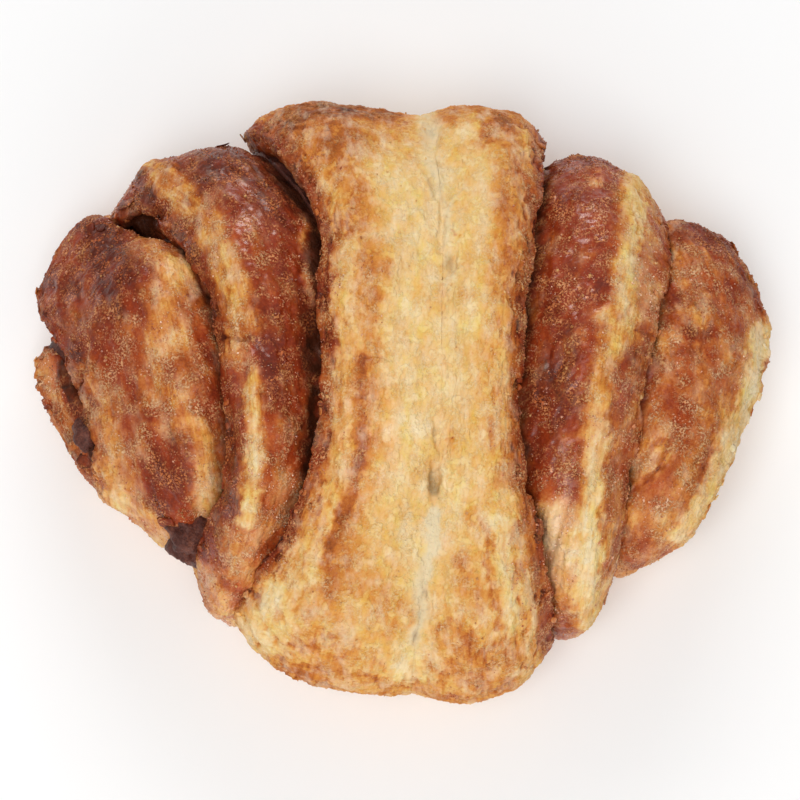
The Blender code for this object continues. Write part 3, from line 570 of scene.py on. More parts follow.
def lattice_noise(points, seed):
    """Gradient noise: each corner of the unit cell round a point has a random direction, and its dot product
    with the way to the point is blended over the corners by 6 t^5 - 15 t^4 + 10 t^3. About -1 to 1."""
    cell = np.floor(points)
    part = points - cell
    blend = part**3 * (part * (part * 6 - 15) + 10)
    cell = cell.astype(np.int64)
    draw = np.random.default_rng(seed)
    directions = draw.normal(size=(NOISE_TABLE, 3))
    directions /= np.linalg.norm(directions, axis=1)[:, None]
    shuffle = draw.permutation(NOISE_TABLE)
    total = np.zeros(points.shape[:-1])
    for corner in itertools.product((0, 1), repeat=3):
        place = cell + corner
        index = shuffle[place[..., 2] % NOISE_TABLE]
        index = shuffle[(place[..., 1] + index) % NOISE_TABLE]
        index = shuffle[(place[..., 0] + index) % NOISE_TABLE]
        weight = np.prod(np.where(corner, blend, 1 - blend), axis=-1)
        total += weight * (directions[index] * (part - corner)).sum(-1)
    return total * 1.6


def layered_noise(points, size, octaves, seed):
    """Sum of gradient noises, each half as large and half as high as the one before."""
    points = np.asarray(points)
    return sum(lattice_noise(points * (2.0**k / size), seed + k) * 0.5**k for k in range(octaves))


def noise_of(kind, points, more=0):
    """The noise of one kind at points. A number added to its seed gives another noise of that kind."""
    size, octaves, seed = NOISES[kind]
    return layered_noise(points, size, octaves, SEED + seed + more)


def section(angle):
    """Front-to-back and height shares of the rounded-square cross-section at an angle from the front."""
    along, up = -np.cos(angle), np.sin(angle)
    power = np.where(up >= 0, TOP_POWER, FOOT_POWER)
    size = (np.abs(along) ** power + np.abs(up) ** power) ** (1 / power)
    return along / size, up / size


def rims(turn, along):
    """X of the left and right rim of a turn at a front-to-back share."""
    return curve(RIM_AT, RIM_LEFT[turn], along), curve(RIM_AT, RIM_RIGHT[turn], along)


def inner_rims(turn, along):
    """X where the strip of a turn that shows ends: the rims of the turn above it, or the valley."""
    if turn:
        return rims(turn - 1, along)
    valley = curve(RIM_AT, VALLEY, along)
    return valley, valley


def rounded_profile(share, profile):
    """Mean of the profile's straight-line readings at nearby shares, which rounds its corners."""
    return sum(np.interp(share + tap, *zip(*profile)) for tap in PROFILE_TAPS) / len(PROFILE_TAPS)


def ridge(turn, distance, strip, profile):
    """Depth of a turn at a distance in from its rim, where the strip that shows is this wide."""
    strip = np.maximum(strip, NARROWEST_STRIP)
    share = distance / strip
    depth = rounded_profile(share, profile)
    groove = np.interp(1.0, *zip(*profile))
    shallow = np.clip(strip / FULL_STRIP[turn], 0.3, 1)
    inner = np.clip((share - 0.3) / 0.2, 0, 1)
    return depth - np.minimum(depth, groove) * (1 - shallow) * inner


def depth_at(turn, x, along):
    """Depth of a turn's top surface below the crest line, at X and at a front-to-back share."""
    left, right = rims(turn, along)
    inner_left, inner_right = inner_rims(turn, along)
    on_left = ridge(turn, x - left, inner_left - left, PROFILE_LEFT[turn])
    on_right = ridge(turn, right - x, right - inner_right, PROFILE_RIGHT[turn])
    return np.minimum(on_left, on_right)


def place(turn, x, along, up, depth, shrink=1.0, above=0.0):
    """Point of a turn at X: the crest line's section, drawn in by the depth, then by shrink to its axis,
    at a height above the surface."""
    back, front = curve(REACH_X, REACH_BACK, x), curve(REACH_X, REACH_FRONT, x)
    middle = (back + front) / 2 - FORWARD[turn]
    reach = (back - front) / 2 - NARROWER[turn]
    widest = WIDEST_Z_MIDDLE + (WIDEST_Z_END - WIDEST_Z_MIDDLE) * np.minimum(np.abs(x) / END_X, 1) ** 2
    height = curve(CREST_X, CREST_Z, x) - widest - LOWER[turn]
    drawn_reach = reach * np.exp(-depth / reach) + above
    drawn_height = height * np.exp(-depth / height) + above
    y = middle + drawn_reach * along * shrink
    z = widest + np.where(up >= 0, drawn_height, widest + TRIMMED) * up * shrink
    swell = 0
    for which, bulge_x, bulge_y, across, length, rise in BULGES:
        if which == turn:
            away = ((x - bulge_x) / across) ** 2 + ((y - bulge_y) / length) ** 2
            swell = swell + rise * np.exp(-away)
    top = np.clip(up, 0, 1) * shrink
    return np.stack(np.broadcast_arrays(x, y + swell * along * top, z + swell * top), axis=-1)


def on_picture(points):
    """X and Y on the picture of points before centring: their offset from the view line, scaled by the
    camera's distance over their depth."""
    tilt = np.radians(ELEVATION)
    towards = np.array((0, -np.cos(tilt), np.sin(tilt)))
    up = np.array((0, np.sin(tilt), np.cos(tilt)))
    away = points - AIM
    scale = DISTANCE / (DISTANCE - away @ towards)
    return away[..., 0] * scale, away @ up * scale


def section_angles(turn, over, under):
    """Angles round the section: from the middle of the underside up the front, evenly spaced by length over
    the top, and down the back."""
    fine = np.linspace(0, np.pi, 2001)
    along, up = section(fine)
    line = place(turn, np.full_like(fine, (POLE_LEFT[turn] + POLE_RIGHT[turn]) / 2), along, up, 0.0)
    length = np.concatenate([[0], np.cumsum(np.linalg.norm(np.diff(line, axis=0), axis=1))])
    top = np.interp(np.linspace(0, length[-1], over), length, fine)
    low = np.linspace(-np.pi / 2, 0, under // 2 + 1)[:-1]
    return np.concatenate([low, top, np.pi - low[:0:-1]])


def turn_columns(end, cut, strip, hidden, shown):
    """Across one half of a turn from its pole: shrink to the axis, share down the cut face, share over the
    strip, and share on towards the middle."""
    shrink = np.concatenate([np.linspace(0, 1, end + 1), np.ones(cut + strip + hidden)])
    down = np.concatenate([np.ones(end + 1), np.linspace(1, 0, cut + 1)[1:], np.zeros(strip + hidden)])
    rise = np.linspace(0, shown, strip + 1)[1:]
    over = np.concatenate([np.zeros(end + cut + 1), rise, np.full(hidden, shown)])
    on = np.concatenate([np.zeros(end + cut + strip + 1), np.linspace(0, 1, hidden + 2)[1:-1]])
    return shrink, down, over, on


def turn_grid(turn):
    """Points and named coordinates of a turn, as arrays of section rows by columns across. Along the strip
    that shows, X is the rim plus the strip's width times the share; then it runs on to the middle. Down the
    cut face X moves in by CUT_INWARD and the depth grows by CUT_DROP; the end face shrinks to the pole."""
    over_top, under, end, cut, strip, hidden = GRID[turn]
    angle = section_angles(turn, over_top, under)[:, None]
    along, up = section(angle)
    left, right = rims(turn, along)
    inner_left, inner_right = inner_rims(turn, along)
    middle = (left + right) / 2 if turn else inner_left
    shrink, down, over, on = turn_columns(end, cut, strip, hidden, STRIP_SHOWN[turn])
    arc = np.stack(np.broadcast_arrays(angle * MEAN_RADIUS, 0.0, 0.0), -1)
    halves = []
    for side, rim, inner, pole in (
        (-1, left, inner_left, POLE_LEFT[turn]), (1, right, inner_right, POLE_RIGHT[turn])
    ):
        width = np.maximum(np.abs(inner - rim), NARROWEST_STRIP if turn else 0.0)
        own = 7 * turn + side
        rag = RAG_HEIGHT * noise_of("rag", arc, own)
        torn = smooth(-0.1, 0.5, noise_of("torn", arc, own))
        rag = rag + torn * RAG_HEIGHT * noise_of("fine_rag", arc, own)
        rag = rag * settings().dough.raggedness * np.exp(-over * width / RAG_REACH) * (1 - RAG_EASED * down)
        top = rim - side * width * over
        top = top + (middle - top) * on
        x = top - side * CUT_INWARD[turn] * down**CUT_POWER + side * rag
        depth = depth_at(turn, top, along) + CUT_DROP * down
        x = x * shrink + pole * (1 - shrink)
        x = middle + (x - middle) * np.where(up >= 0, 1, 1 - FOOT_TUCK * np.abs(up))
        points = place(turn, x, along, up, depth, shrink)
        inset = np.abs(top - rim) - down * CUT_DROP
        sides = side * np.ones_like(inset)
        halves.append((points, *np.broadcast_arrays(inset, down, shrink, np.abs(inner - rim), sides)))
    last = None if turn else -1
    joined = [np.concatenate([a[:, :last], b[:, ::-1]], axis=1) for a, b in zip(*halves)]
    grid = dict(zip(("points", "inset", "down", "shrink", "width", "side"), joined))
    points = grid["points"]
    columns = points.shape[1]
    length = np.linalg.norm(np.diff(points[:, columns // 4], axis=0), axis=1)
    grid["arc"] = np.concatenate([[0], np.cumsum(length)])[:, None] * np.ones(columns)
    grid["x"], grid["y"] = on_picture(points)
    grid["up"] = up * np.ones(columns)
    return grid


def grid_normals(points):
    """Outward normals of a grid that is closed round its rows: the cross product of its two differences."""
    round_rows = np.roll(points, -1, axis=0) - np.roll(points, 1, axis=0)
    across = np.gradient(points, axis=1)
    normal = np.cross(across, round_rows)
    length = np.linalg.norm(normal, axis=-1, keepdims=True)
    return normal / np.maximum(length, 1e-9)


def spot_mask(x, y, spot_x, spot_y, across, along, tilt=0):
    """exp(-r^3), where r is the distance from an ellipse's centre over its radius."""
    turned = np.radians(tilt)
    a = ((x - spot_x) * np.cos(turned) + (y - spot_y) * np.sin(turned)) / across
    b = ((y - spot_y) * np.cos(turned) - (x - spot_x) * np.sin(turned)) / along
    return np.exp(-((a * a + b * b) ** 1.5))


def stroke_mask(x, y, half_width, points):
    """exp(-r^3), where r is the distance from a line through the points over its half width."""
    nearest = np.full(x.shape, np.inf)
    for (x0, y0), (x1, y1) in itertools.pairwise(points):
        run_x, run_y = x1 - x0, y1 - y0
        t = np.clip(((x - x0) * run_x + (y - y0) * run_y) / (run_x**2 + run_y**2), 0, 1)
        nearest = np.minimum(nearest, np.hypot(x - x0 - t * run_x, y - y0 - t * run_y))
    return np.exp(-((nearest / half_width) ** 3))


def strip_points(turn, grid):
    """Places for noise that is drawn out along the strip to STRETCH times its width."""
    across = grid["points"][..., 0] if turn == 0 else grid["inset"] * grid["side"]
    return np.stack([across, grid["arc"] / STRETCH, np.full_like(across, 9.0 * turn)], -1)


def strip_noise(turn, grid, kind):
    """Noise drawn out along the strip, and even noise where the end face closes on its pole."""
    long = noise_of(kind, strip_points(turn, grid))
    even = noise_of(kind, grid["points"])
    face = on_strip(grid)
    return long * face + even * (1 - face)


def on_strip(grid):
    """1 away from the poles, 0 at them."""
    return smooth(0.35, 0.98, grid["shrink"])


def tear_mask(turn, grid, strand):
    """Short slits between dough layers, along the strip where strands show."""
    torn = noise_of("slits", strip_points(turn, grid) * (1, 0.55, 1))
    patchy = smooth(-0.2, 0.3, noise_of("slit_patches", grid["points"]))
    return strand * patchy * smooth(0.16, 0.4, torn)


def crust_masks(turn, grid):
    """Bake, coat, syrup with painted shade, gloss and dry of each point: readings in from the rims, plus what
    is painted on the picture, whose places are shifted by noise so that edges are uneven."""
    points, inset, side = grid["points"], grid["inset"], grid["side"]
    fray = FRAY * noise_of("fray", points)
    x = grid["x"] + WANDER * noise_of("wander", points) + fray
    y = grid["y"] + WANDER_UP * noise_of("wander_up", points) - fray
    from_rim = inset + RIM_WANDER * noise_of("rim", points)
    readings = []
    for table in (CRUST_LEFT[turn], CRUST_RIGHT[turn]):
        at, *channels = zip(*table)
        readings.append([np.interp(from_rim, at, values) for values in channels])
    (bake_left, coat_left), (bake_right, coat_right) = readings
    masks = {name: np.zeros(inset.shape) for name in ("bake", "coat", "syrup_and_shade", "gloss", "dry")}
    masks["coat"] = np.where(side < 0, coat_left, coat_right)
    if turn:
        masks["bake"] = np.where(side < 0, bake_left, bake_right)
    else:
        blend = smooth(-3, 3, grid["x"] - VALLEY_X)
        masks["bake"] = bake_left * (1 - blend) + bake_right * blend
    masks["gloss"] = GLOSS_OF_COAT[turn] * masks["coat"]
    for line, *strokes in STROKES[turn]:
        for channel, amount, half_width in strokes:
            masks[channel] = masks[channel] + amount * stroke_mask(x, y, half_width, line)
    for channel, spots in SPOTS[turn].items():
        for amount, *spot in spots:
            masks[channel] = masks[channel] + amount * spot_mask(x, y, *spot)
    # Down each cut face the crust darkens: dark syrup, and painted shade where the face turns under its rim.
    masks["syrup_and_shade"] = masks["syrup_and_shade"] + CUT_SYRUP_AND_SHADE[turn] * smooth(0.0, 1.0, grid["down"])
    # Towards the rim of the turn above, the groove darkens, less towards the front: dark syrup, and painted
    # shade under that rim.
    if turn:
        share = from_rim / np.maximum(grid["width"], NARROWEST_STRIP)
        start = np.where(side < 0, *SYRUP_AND_SHADE_FROM[turn])
        groove = smooth(start, 1.0, share) * smooth(-34, -6, grid["y"])
        masks["syrup_and_shade"] = masks["syrup_and_shade"] + (0.75 + 0.5 * noise_of("groove_syrup_and_shade", points)) * groove
    masks["bake"] = masks["bake"] + BAKE_NOISE[turn] * strip_noise(turn, grid, "bake")
    masks["coat"] = masks["coat"] + COAT_NOISE * strip_noise(turn, grid, "coat") * (masks["coat"] > 0.02)
    masks["gloss"] = masks["gloss"] * (1.0 + GLOSS_NOISE * strip_noise(turn, grid, "gloss"))
    low = 1 - smooth(*FOOT_FADE, points[..., 2])
    masks["bake"] = masks["bake"] * (1 - low) + low * FOOT_BAKE + 0.1 * noise_of("broad_bake", points)
    masks["coat"] = masks["coat"] * (1 - FOOT_BARE * low)
    coat = np.clip(masks["coat"], 0, 1)
    masks["strand"] = strand_mask(turn, grid, coat) * on_strip(grid)
    masks["bake"] = masks["bake"] + SHEET_EDGE_BAKE * peeled_sheets(points, 1 - 0.5 * coat)[1]
    # Slits between layers are darkened: painted shade in them.
    masks["bake"] = masks["bake"] + SLIT_SHADE[turn] * tear_mask(turn, grid, masks["strand"])
    masks["flaky"] = np.exp(-((inset / FLAKY_REACH) ** 2)) * (grid["up"] > 0.3)
    return {name: np.clip(values, 0, 1) for name, values in masks.items()}


def strand_mask(turn, grid, coat):
    """Where dough layers show as strands along the strip: beside the rims of the outer turn and at its front,
    and on the bare stripes of the others."""
    near_rim = np.exp(-((np.clip(grid["inset"], 0, None) / STRAND_REACH) ** 2))
    if turn == 0:
        return np.clip(near_rim + 0.5 * smooth(-25, -45, grid["y"]), 0, 1)
    return np.clip(0.4 * near_rim + 0.9 * (1 - coat), 0, 1)


def peeled_sheets(points, strength):
    """Thin sheets of dough that lie over one another: steps along the contour lines of stretched noise.
    Height in millimetres, and a mask of the steps' edges."""
    level = SHEETS * noise_of("sheets", points * (1, 0.5, 1)) + 8
    share = level % 1
    step = np.floor(level) + smooth(0.0, 0.14, share)
    lowered = 0.75 * (level + 0.5)
    return SHEET_STEP * strength * (step - lowered), strength * np.exp(-(((share - 0.02) / 0.07) ** 2))


def terrace(value, pitch):
    """Saw of dough layers: rises evenly over each pitch and drops over its last fifth, 0 to 1."""
    share = (value / pitch) % 1
    return np.where(share < 0.8, share / 0.8, (1 - share) / 0.2)


def crust_relief(turn, grid, masks):
    """Height above the smooth surface: broad unevenness, wrinkles, steps between dough layers near the rims
    and on pale strips, sugar crust where there is coat, and the named pores and creases."""
    dough = settings().dough
    points, inset, arc = grid["points"], grid["inset"], grid["arc"]
    height = dough.unevenness * noise_of("unevenness", points)
    height += dough.wrinkles * strip_noise(turn, grid, "wrinkles")
    crease = strip_noise(turn, grid, "creases")
    height -= dough.wrinkles * 0.5 * np.exp(-((crease / CREASE_WIDTH) ** 2)) * masks["coat"]
    along = np.stack([inset / LAYER_WARP[0], arc / LAYER_WARP[1], np.full_like(arc, 3.0 * turn)], -1)
    warp = WARP_HEIGHT * noise_of("warp", along)
    layers = masks["strand"] * (0.7 + 0.6 * noise_of("layers", points))
    height += dough.lamination * layers * (terrace(inset + warp, dough.layer_pitch) - 0.5)
    height -= SLIT_DEPTH[turn] * tear_mask(turn, grid, masks["strand"])
    height += peeled_sheets(points, 1 - 0.55 * masks["coat"])[0]
    if turn == 0:
        front = smooth(-34, -44, grid["y"])
        waves = arc + 1.5 * noise_of("waves", points)
        height += FRONT_STEP * front * (terrace(waves, FRONT_PITCH) - 0.5)
    height += (0.02 + 0.08 * masks["coat"]) * noise_of("sugar_crust", points)
    shift = FRAY * noise_of("dent_shift", points)
    for which, *spot, depth in DENTS:
        if which == turn:
            height -= depth * spot_mask(grid["x"] + shift, grid["y"] - shift, *spot)
    return height * grid["shrink"] * smooth(0, 3, points[..., 2])


def closed_grid_faces(rows, columns):
    """Faces of a grid closed round its rows, with one point for each pole: quads between the columns, and a
    fan of triangles at each end. The poles come after the grid's own points."""
    number = np.arange(rows * columns).reshape(rows, columns)
    after = np.roll(number, -1, axis=0)
    quads = np.stack([number[:, :-1], number[:, 1:], after[:, 1:], after[:, :-1]], -1).reshape(-1, 4)
    first, last = rows * columns, rows * columns + 1
    fans = [np.stack([np.full(rows, first), number[:, 0], after[:, 0]], -1)]
    fans.append(np.stack([number[:, -1], np.full(rows, last), after[:, -1]], -1))
    return quads.tolist() + np.concatenate(fans).tolist()


def repeated_faces(own, count, stride):
    """Faces of a closed grid, again for each of several grids whose points follow one another."""
    return [[corner + start for corner in face] for start in range(0, count * stride, stride) for face in own]


def new_piece(name, points, faces, material, attributes=None, uv=None):
    """A mesh object of points in millimetres before centring, that rides on the bun and takes a finish."""
    mesh = bpy.data.meshes.new(name)
    mesh.from_pydata(((points + OFF_CENTRE) * METRES).tolist(), [], faces)
    mesh.shade_smooth()
    for attribute, values in (attributes or {}).items():
        made = mesh.attributes.new(attribute, "FLOAT", "POINT")
        made.data.foreach_set("value", np.ascontiguousarray(values, np.float32))
    if uv is not None:
        corner = np.empty(len(mesh.loops), np.int32)
        mesh.loops.foreach_get("vertex_index", corner)
        layer = mesh.uv_layers.new(name="along_strip")
        layer.data.foreach_set("uv", uv[corner].astype(np.float32).ravel())
    mesh.materials.append(material)
    piece = bpy.data.objects.new(name, mesh)
    bpy.context.scene.collection.objects.link(piece)
    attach(piece, BODY)
    return piece


def turn_piece(turn, material):
    """One turn of dough as a closed mesh with its relief and masks."""
    grid = turn_grid(turn)
    masks = crust_masks(turn, grid)
    points = grid["points"]
    moved = points + grid_normals(points) * crust_relief(turn, grid, masks)[..., None]
    below = np.clip(BASE_STEP * turn - moved[..., 2], 0, None)
    away = np.hypot(moved[..., 0], moved[..., 1])
    moved[..., :2] *= 1 - np.minimum(UNDER_DRAWN * below / np.maximum(away, 1e-6), 0.3)[..., None]
    moved[..., 2] = np.maximum(moved[..., 2], BASE_STEP * turn)
    rows, columns = moved.shape[0], moved.shape[1] - 2

    def with_poles(values):
        body = values[:, 1:-1].reshape(rows * columns, -1)
        return np.concatenate([body, values[:1, 0].reshape(1, -1), values[:1, -1].reshape(1, -1)])

    uv = with_poles(np.stack([grid["inset"], grid["arc"]], -1)) / 100
    attributes = {name: with_poles(values).ravel() for name, values in masks.items()}
    faces = closed_grid_faces(rows, columns)
    return new_piece(PIECES[turn], with_poles(moved), faces, material, attributes, uv)


def layer_points(layer, share, angle, above):
    """Points of the filling layer that lies on turn layer + 1, at a height above that turn's surface."""
    along, up = section(angle)
    left, right = rims(layer, along)
    left, right = left + FILLING_INSIDE, right - FILLING_INSIDE
    if layer == 2:
        left, right = np.maximum(left, FILLING_CORE_LEFT), np.full_like(right, FILLING_CORE_RIGHT)
    x = left + (right - left) * share
    return place(layer + 1, x, along, up, depth_at(layer + 1, x, along), above=above)


def filling_piece(layer, material):
    """A lumpy sheet of filling: its upper surface stands above the turn below by the thickness plus noise
    and less a dip, its lower surface is sunk in that turn, and a wall joins them round the edge."""
    turned = np.linspace(0, 1, FILLING_ROWS)[:, None]
    edge = np.linspace(0, 1, EDGE_COLUMNS) ** 1.6 * EDGE_SHARE
    inner = np.linspace(EDGE_SHARE, 1 - EDGE_SHARE, INNER_COLUMNS)[1:-1]
    share = np.concatenate([edge, inner, 1 - edge[::-1]])[None, :]
    ends = (FILLING_FRONT[layer], FILLING_BACK[layer])
    low, high = (left * (1 - share) + right * share for left, right in ends)
    angle = np.radians(low + (high - low) * turned)
    share = share * np.ones_like(angle)
    flat = layer_points(layer, share, angle, FILLING_THICK - FILLING_SUNK)
    lumpy = LUMPY[layer] * (0.6 + noise_of("filling", flat, layer)) - FILLING_DIP[layer]
    top = layer_points(layer, share, angle, FILLING_THICK - FILLING_SUNK + lumpy)
    base = layer_points(layer, share, angle, -FILLING_SUNK)
    top[..., 2], base[..., 2] = np.maximum(top[..., 2], 0.3), np.maximum(base[..., 2], 0.2)
    count = angle.size
    number = np.arange(count).reshape(angle.shape)
    over = np.stack([number[:-1, :-1], number[:-1, 1:], number[1:, 1:], number[1:, :-1]], -1).reshape(-1, 4)
    ring = np.concatenate([number[0, :-1], number[:-1, -1], number[-1, :0:-1], number[:0:-1, 0]])
    following = np.roll(ring, -1)
    wall = np.stack([ring, ring + count, following + count, following], -1)
    faces = np.concatenate([over, over[:, ::-1] + count, wall]).tolist()
    points = np.concatenate([top.reshape(-1, 3), base.reshape(-1, 3)])
    piece = new_piece(f"{FILLING_NODES[layer]}_paste", points, faces, material)
    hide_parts(FILLING_NODES[layer])


def lump_piece(crust, material):
    """Boiled-out lumps: balls that run together, roughened by noise, on the crust."""
    surface = piece_vectors(crust, "co")
    around, over = LUMP_GRID
    turned = np.linspace(0, 2 * np.pi, around, endpoint=False)[:, None]
    polar = np.linspace(0, np.pi, over + 1)[None, :]
    ball = np.broadcast_arrays(np.cos(turned) * np.sin(polar), np.sin(turned) * np.sin(polar), -np.cos(polar))
    ball = np.stack(ball, -1)
    points = []
    for x, y, above, balls in LUMPS:
        middle = surface[showing_at(surface, x, y)] + (0, 0, above)
        for *offset, radius in balls:
            shape = middle + offset + ball * radius * LUMP_SQUEEZE
            shape = shape + ball * (LUMP_NOISE * radius * noise_of("lumps", shape))[..., None]
            points.append(np.concatenate([shape[:, 1:-1].reshape(-1, 3), shape[:1, 0], shape[:1, -1]]))
    faces = repeated_faces(closed_grid_faces(around, over - 1), len(points), len(points[0]))
    new_piece("filling_lumps", np.concatenate(points), faces, material)


def point_values(piece, attribute):
    """A point attribute of one piece."""
    values = np.empty(len(piece.data.vertices), np.float32)
    piece.data.attributes[attribute].data.foreach_get("value", values)
    return values


def piece_values(pieces, attribute):
    """A point attribute of all pieces, one after another."""
    return np.concatenate([point_values(piece, attribute).astype(float) for piece in pieces])


def piece_vectors(pieces, what):
    """Positions in millimetres before centring ("co"), or normals ("normal"), of all points of all pieces."""
    found = []
    for piece in pieces:
        values = np.empty(len(piece.data.vertices) * 3, np.float32)
        piece.data.vertices.foreach_get(what, values)
        values = values.reshape(-1, 3).astype(float)
        found.append(values / METRES - OFF_CENTRE if what == "co" else values)
    return np.concatenate(found)


def scatter(pieces, channel, count, draw):
    """Random places on the upper faces of pieces, more where a channel is strong: points before centring,
    normals and the bake there."""
    parts = []
    for piece in pieces:
        mesh = piece.data
        mesh.calc_loop_triangles()
        tri = np.empty(len(mesh.loop_triangles) * 3, np.int32)
        mesh.loop_triangles.foreach_get("vertices", tri)
        tri = tri.reshape(-1, 3)
        spans = piece_vectors([piece], "co")[tri]
        level, syrup_and_shade, bake = (point_values(piece, name)[tri].mean(1) for name in (channel, "syrup_and_shade", "bake"))
        cross = np.cross(spans[:, 1] - spans[:, 0], spans[:, 2] - spans[:, 0])
        area = np.linalg.norm(cross, axis=1)
        clump = smooth(-0.25, 0.6, noise_of("clumps", spans.mean(1)))
        level = level * (1 - np.clip(2 * syrup_and_shade, 0, 1)) * (0.05 + clump)
        upper = smooth(-0.2, 0.3, cross[:, 2] / np.maximum(area, 1e-9)) * smooth(3, 8, spans[..., 2].mean(1))
        parts.append((spans, cross / np.maximum(area, 1e-9)[:, None], area * upper * level, bake))
    corners, normals, weights, levels = (np.concatenate(values) for values in zip(*parts))
    chosen = draw.choice(len(weights), size=count, p=weights / weights.sum())
    a, b = draw.random((2, count, 1))
    fold = a + b > 1
    a, b = np.where(fold, 1 - a, a), np.where(fold, 1 - b, b)
    corner = corners[chosen]
    points = corner[:, 0] + a * (corner[:, 1] - corner[:, 0]) + b * (corner[:, 2] - corner[:, 0])
    return points, normals[chosen], levels[chosen]


def grain_mesh(points, normals, radius, sink, draw):
    """An octahedron at each point, squeezed and turned at random, sunk into the crust by a share of its
    radius: all corners, and all faces."""
    count = len(points)
    size = radius * draw.lognormal(0, 0.3, (count, 1, 1))
    squeeze = draw.uniform(0.65, 1.15, (count, 1, 3))
    turn = np.linalg.qr(draw.normal(size=(count, 3, 3)))[0]
    turn[np.linalg.det(turn) < 0, 0] *= -1
    corners = OCTAHEDRON * size * squeeze * draw.uniform(0.8, 1.15, (count, 6, 1))
    corners = corners @ turn + points[:, None] + normals[:, None] * size * (1 - sink)
    faces = OCTAHEDRON_FACES + 6 * np.arange(count)[:, None, None]
    return corners.reshape(-1, 3), faces.reshape(-1, 3)


def showing_at(points, x, y):
    """Number of the highest of the points that show within NEAR of a place on the picture."""
    picture_x, picture_y = on_picture(points)
    away = np.hypot(picture_x - x, picture_y - y)
    near = np.flatnonzero(away < max(NEAR, 1.02 * away.min()))
    return near[points[near, 2].argmax()]


def flake_piece(pieces, count, material):
    """Thin flakes of crust at the rims. Each is a lens with a FLAKE_RING at each of the FLAKE_STATIONS, whose
    middle line starts on the crust and rises by the square of the way along it."""
    draw = np.random.default_rng(SEED + 107)
    points, normals = piece_vectors(pieces, "co"), piece_vectors(pieces, "normal")
    weight = piece_values(pieces, "flaky") * smooth(5, 9, points[:, 2])
    chosen = draw.choice(len(points), size=count, p=weight / weight.sum())
    heading = np.radians(draw.uniform(0, 360, count))
    sizes = (FLAKE_LENGTH, FLAKE_BREADTH, FLAKE_CURL)
    length, width, curl = (draw.uniform(*limits, count) for limits in sizes)
    torn = np.array([(showing_at(points, x, y), np.radians(angle), size) for x, y, angle, size in TEETH])
    chosen = np.concatenate([chosen, torn[:, 0].astype(int)])
    heading, length = np.concatenate([heading, torn[:, 1]]), np.concatenate([length, torn[:, 2]])
    width, curl = np.concatenate([width, 0.5 * torn[:, 2]]), np.concatenate([curl, 0.15 * torn[:, 2]])
    base, up = points[chosen], normals[chosen]
    ahead = np.stack([np.cos(heading), np.sin(heading), np.zeros_like(heading)], -1)
    ahead -= up * (ahead * up).sum(-1, keepdims=True)
    ahead /= np.linalg.norm(ahead, axis=1, keepdims=True)
    aside = np.cross(up, ahead)
    at = np.array(FLAKE_STATIONS)
    wide = np.array(FLAKE_WIDTHS) * draw.uniform(0.75, 1.2, (len(base), len(at)))
    ring = np.array(FLAKE_RING)
    go = (at - 0.25)[None, None, :] * length[:, None, None]
    rise = curl[:, None, None] * at[None, None, :] ** 2 + ring[None, :, 1:] * (at * (1 - at) > 0)
    spread = ring[None, :, :1] * (width[:, None] * wide)[:, None, :]
    ways = ((go, ahead), (rise, up), (spread, aside))
    corners = [base[:, None, None] + far[..., None] * way[:, None, None] for far, way in ways]
    corners = corners[0] + corners[1] + corners[2] - 2 * base[:, None, None]
    body = corners[:, :, 1:-1].reshape(len(base), -1, 3)
    corners = np.concatenate([body, corners[:, :1, 0], corners[:, :1, -1]], axis=1)
    stride = corners.shape[1]
    faces = repeated_faces(closed_grid_faces(len(ring), len(at) - 2), len(base), stride)
    attributes = {name: np.repeat(piece_values(pieces, name)[chosen], stride) for name in MASKS}
    paler = np.repeat(draw.uniform(-0.25, 0.2, len(base)), stride)
    attributes["bake"] = np.clip(attributes["bake"] + paler, 0, 1)
    attributes["syrup_and_shade"] = 0.5 * attributes["syrup_and_shade"]
    corners = corners.reshape(-1, 3)
    uv = np.stack([corners[:, 0], corners[:, 1]], -1) / 100
    new_piece("flakes", corners, faces, material, attributes, uv)


def grain_piece(name, pieces, channel, count, radius, sink, material, seed):
    """Grains of one kind on the crust, each with its own tint."""
    draw = np.random.default_rng(seed)
    points, normals, bake = scatter(pieces, channel, count, draw)
    corners, faces = grain_mesh(points, normals, radius, sink, draw)
    tint = np.repeat(1.1 - bake + draw.uniform(-0.1, 0.4, count), len(OCTAHEDRON))
    piece = new_piece(name, corners, faces.tolist(), material, {"tint": tint})
    piece.data.shade_flat()


def settings():
    """The scene's settings for the bun."""
    return bpy.context.scene.cinnamon_bun


def linear(*rgb):
    """Linear colour of an sRGB colour given in 0 to 255."""
    value = np.array(rgb) / 255
    return (*np.where(value <= 0.04045, value / 12.92, ((value + 0.055) / 1.055) ** 2.4), 1.0)


def new_material(name):
    """A new material, its node tree and its Principled shader."""
    material = bpy.data.materials.new(name)
    material.use_nodes = True
    return material, material.node_tree, material.node_tree.nodes["Principled BSDF"]


def new_group(name, inputs, outputs):
    """An empty shader node group with named number inputs, 1 where nothing is given, and number outputs."""
    group = bpy.data.node_groups.new(name, "ShaderNodeTree")
    for label in inputs:
        socket = group.interface.new_socket(label, in_out="INPUT", socket_type="NodeSocketFloat")
        socket.default_value = 1.0
    for label in outputs:
        group.interface.new_socket(label, in_out="OUTPUT", socket_type="NodeSocketFloat")
    return group, group.nodes.new("NodeGroupInput"), group.nodes.new("NodeGroupOutput")


def feed(tree, node, inputs):
    """Links or sets each named or numbered input of a node."""
    for name, value in inputs.items():
        if isinstance(value, bpy.types.NodeSocket):
            tree.links.new(value, node.inputs[name])
        else:
            node.inputs[name].default_value = value


def add_node(tree, kind, inputs=None, **values):
    """A node with its values set and its inputs linked or set."""
    node = tree.nodes.new(kind)
    for name, value in values.items():
        setattr(node, name, value)
    feed(tree, node, inputs or {})
    return node


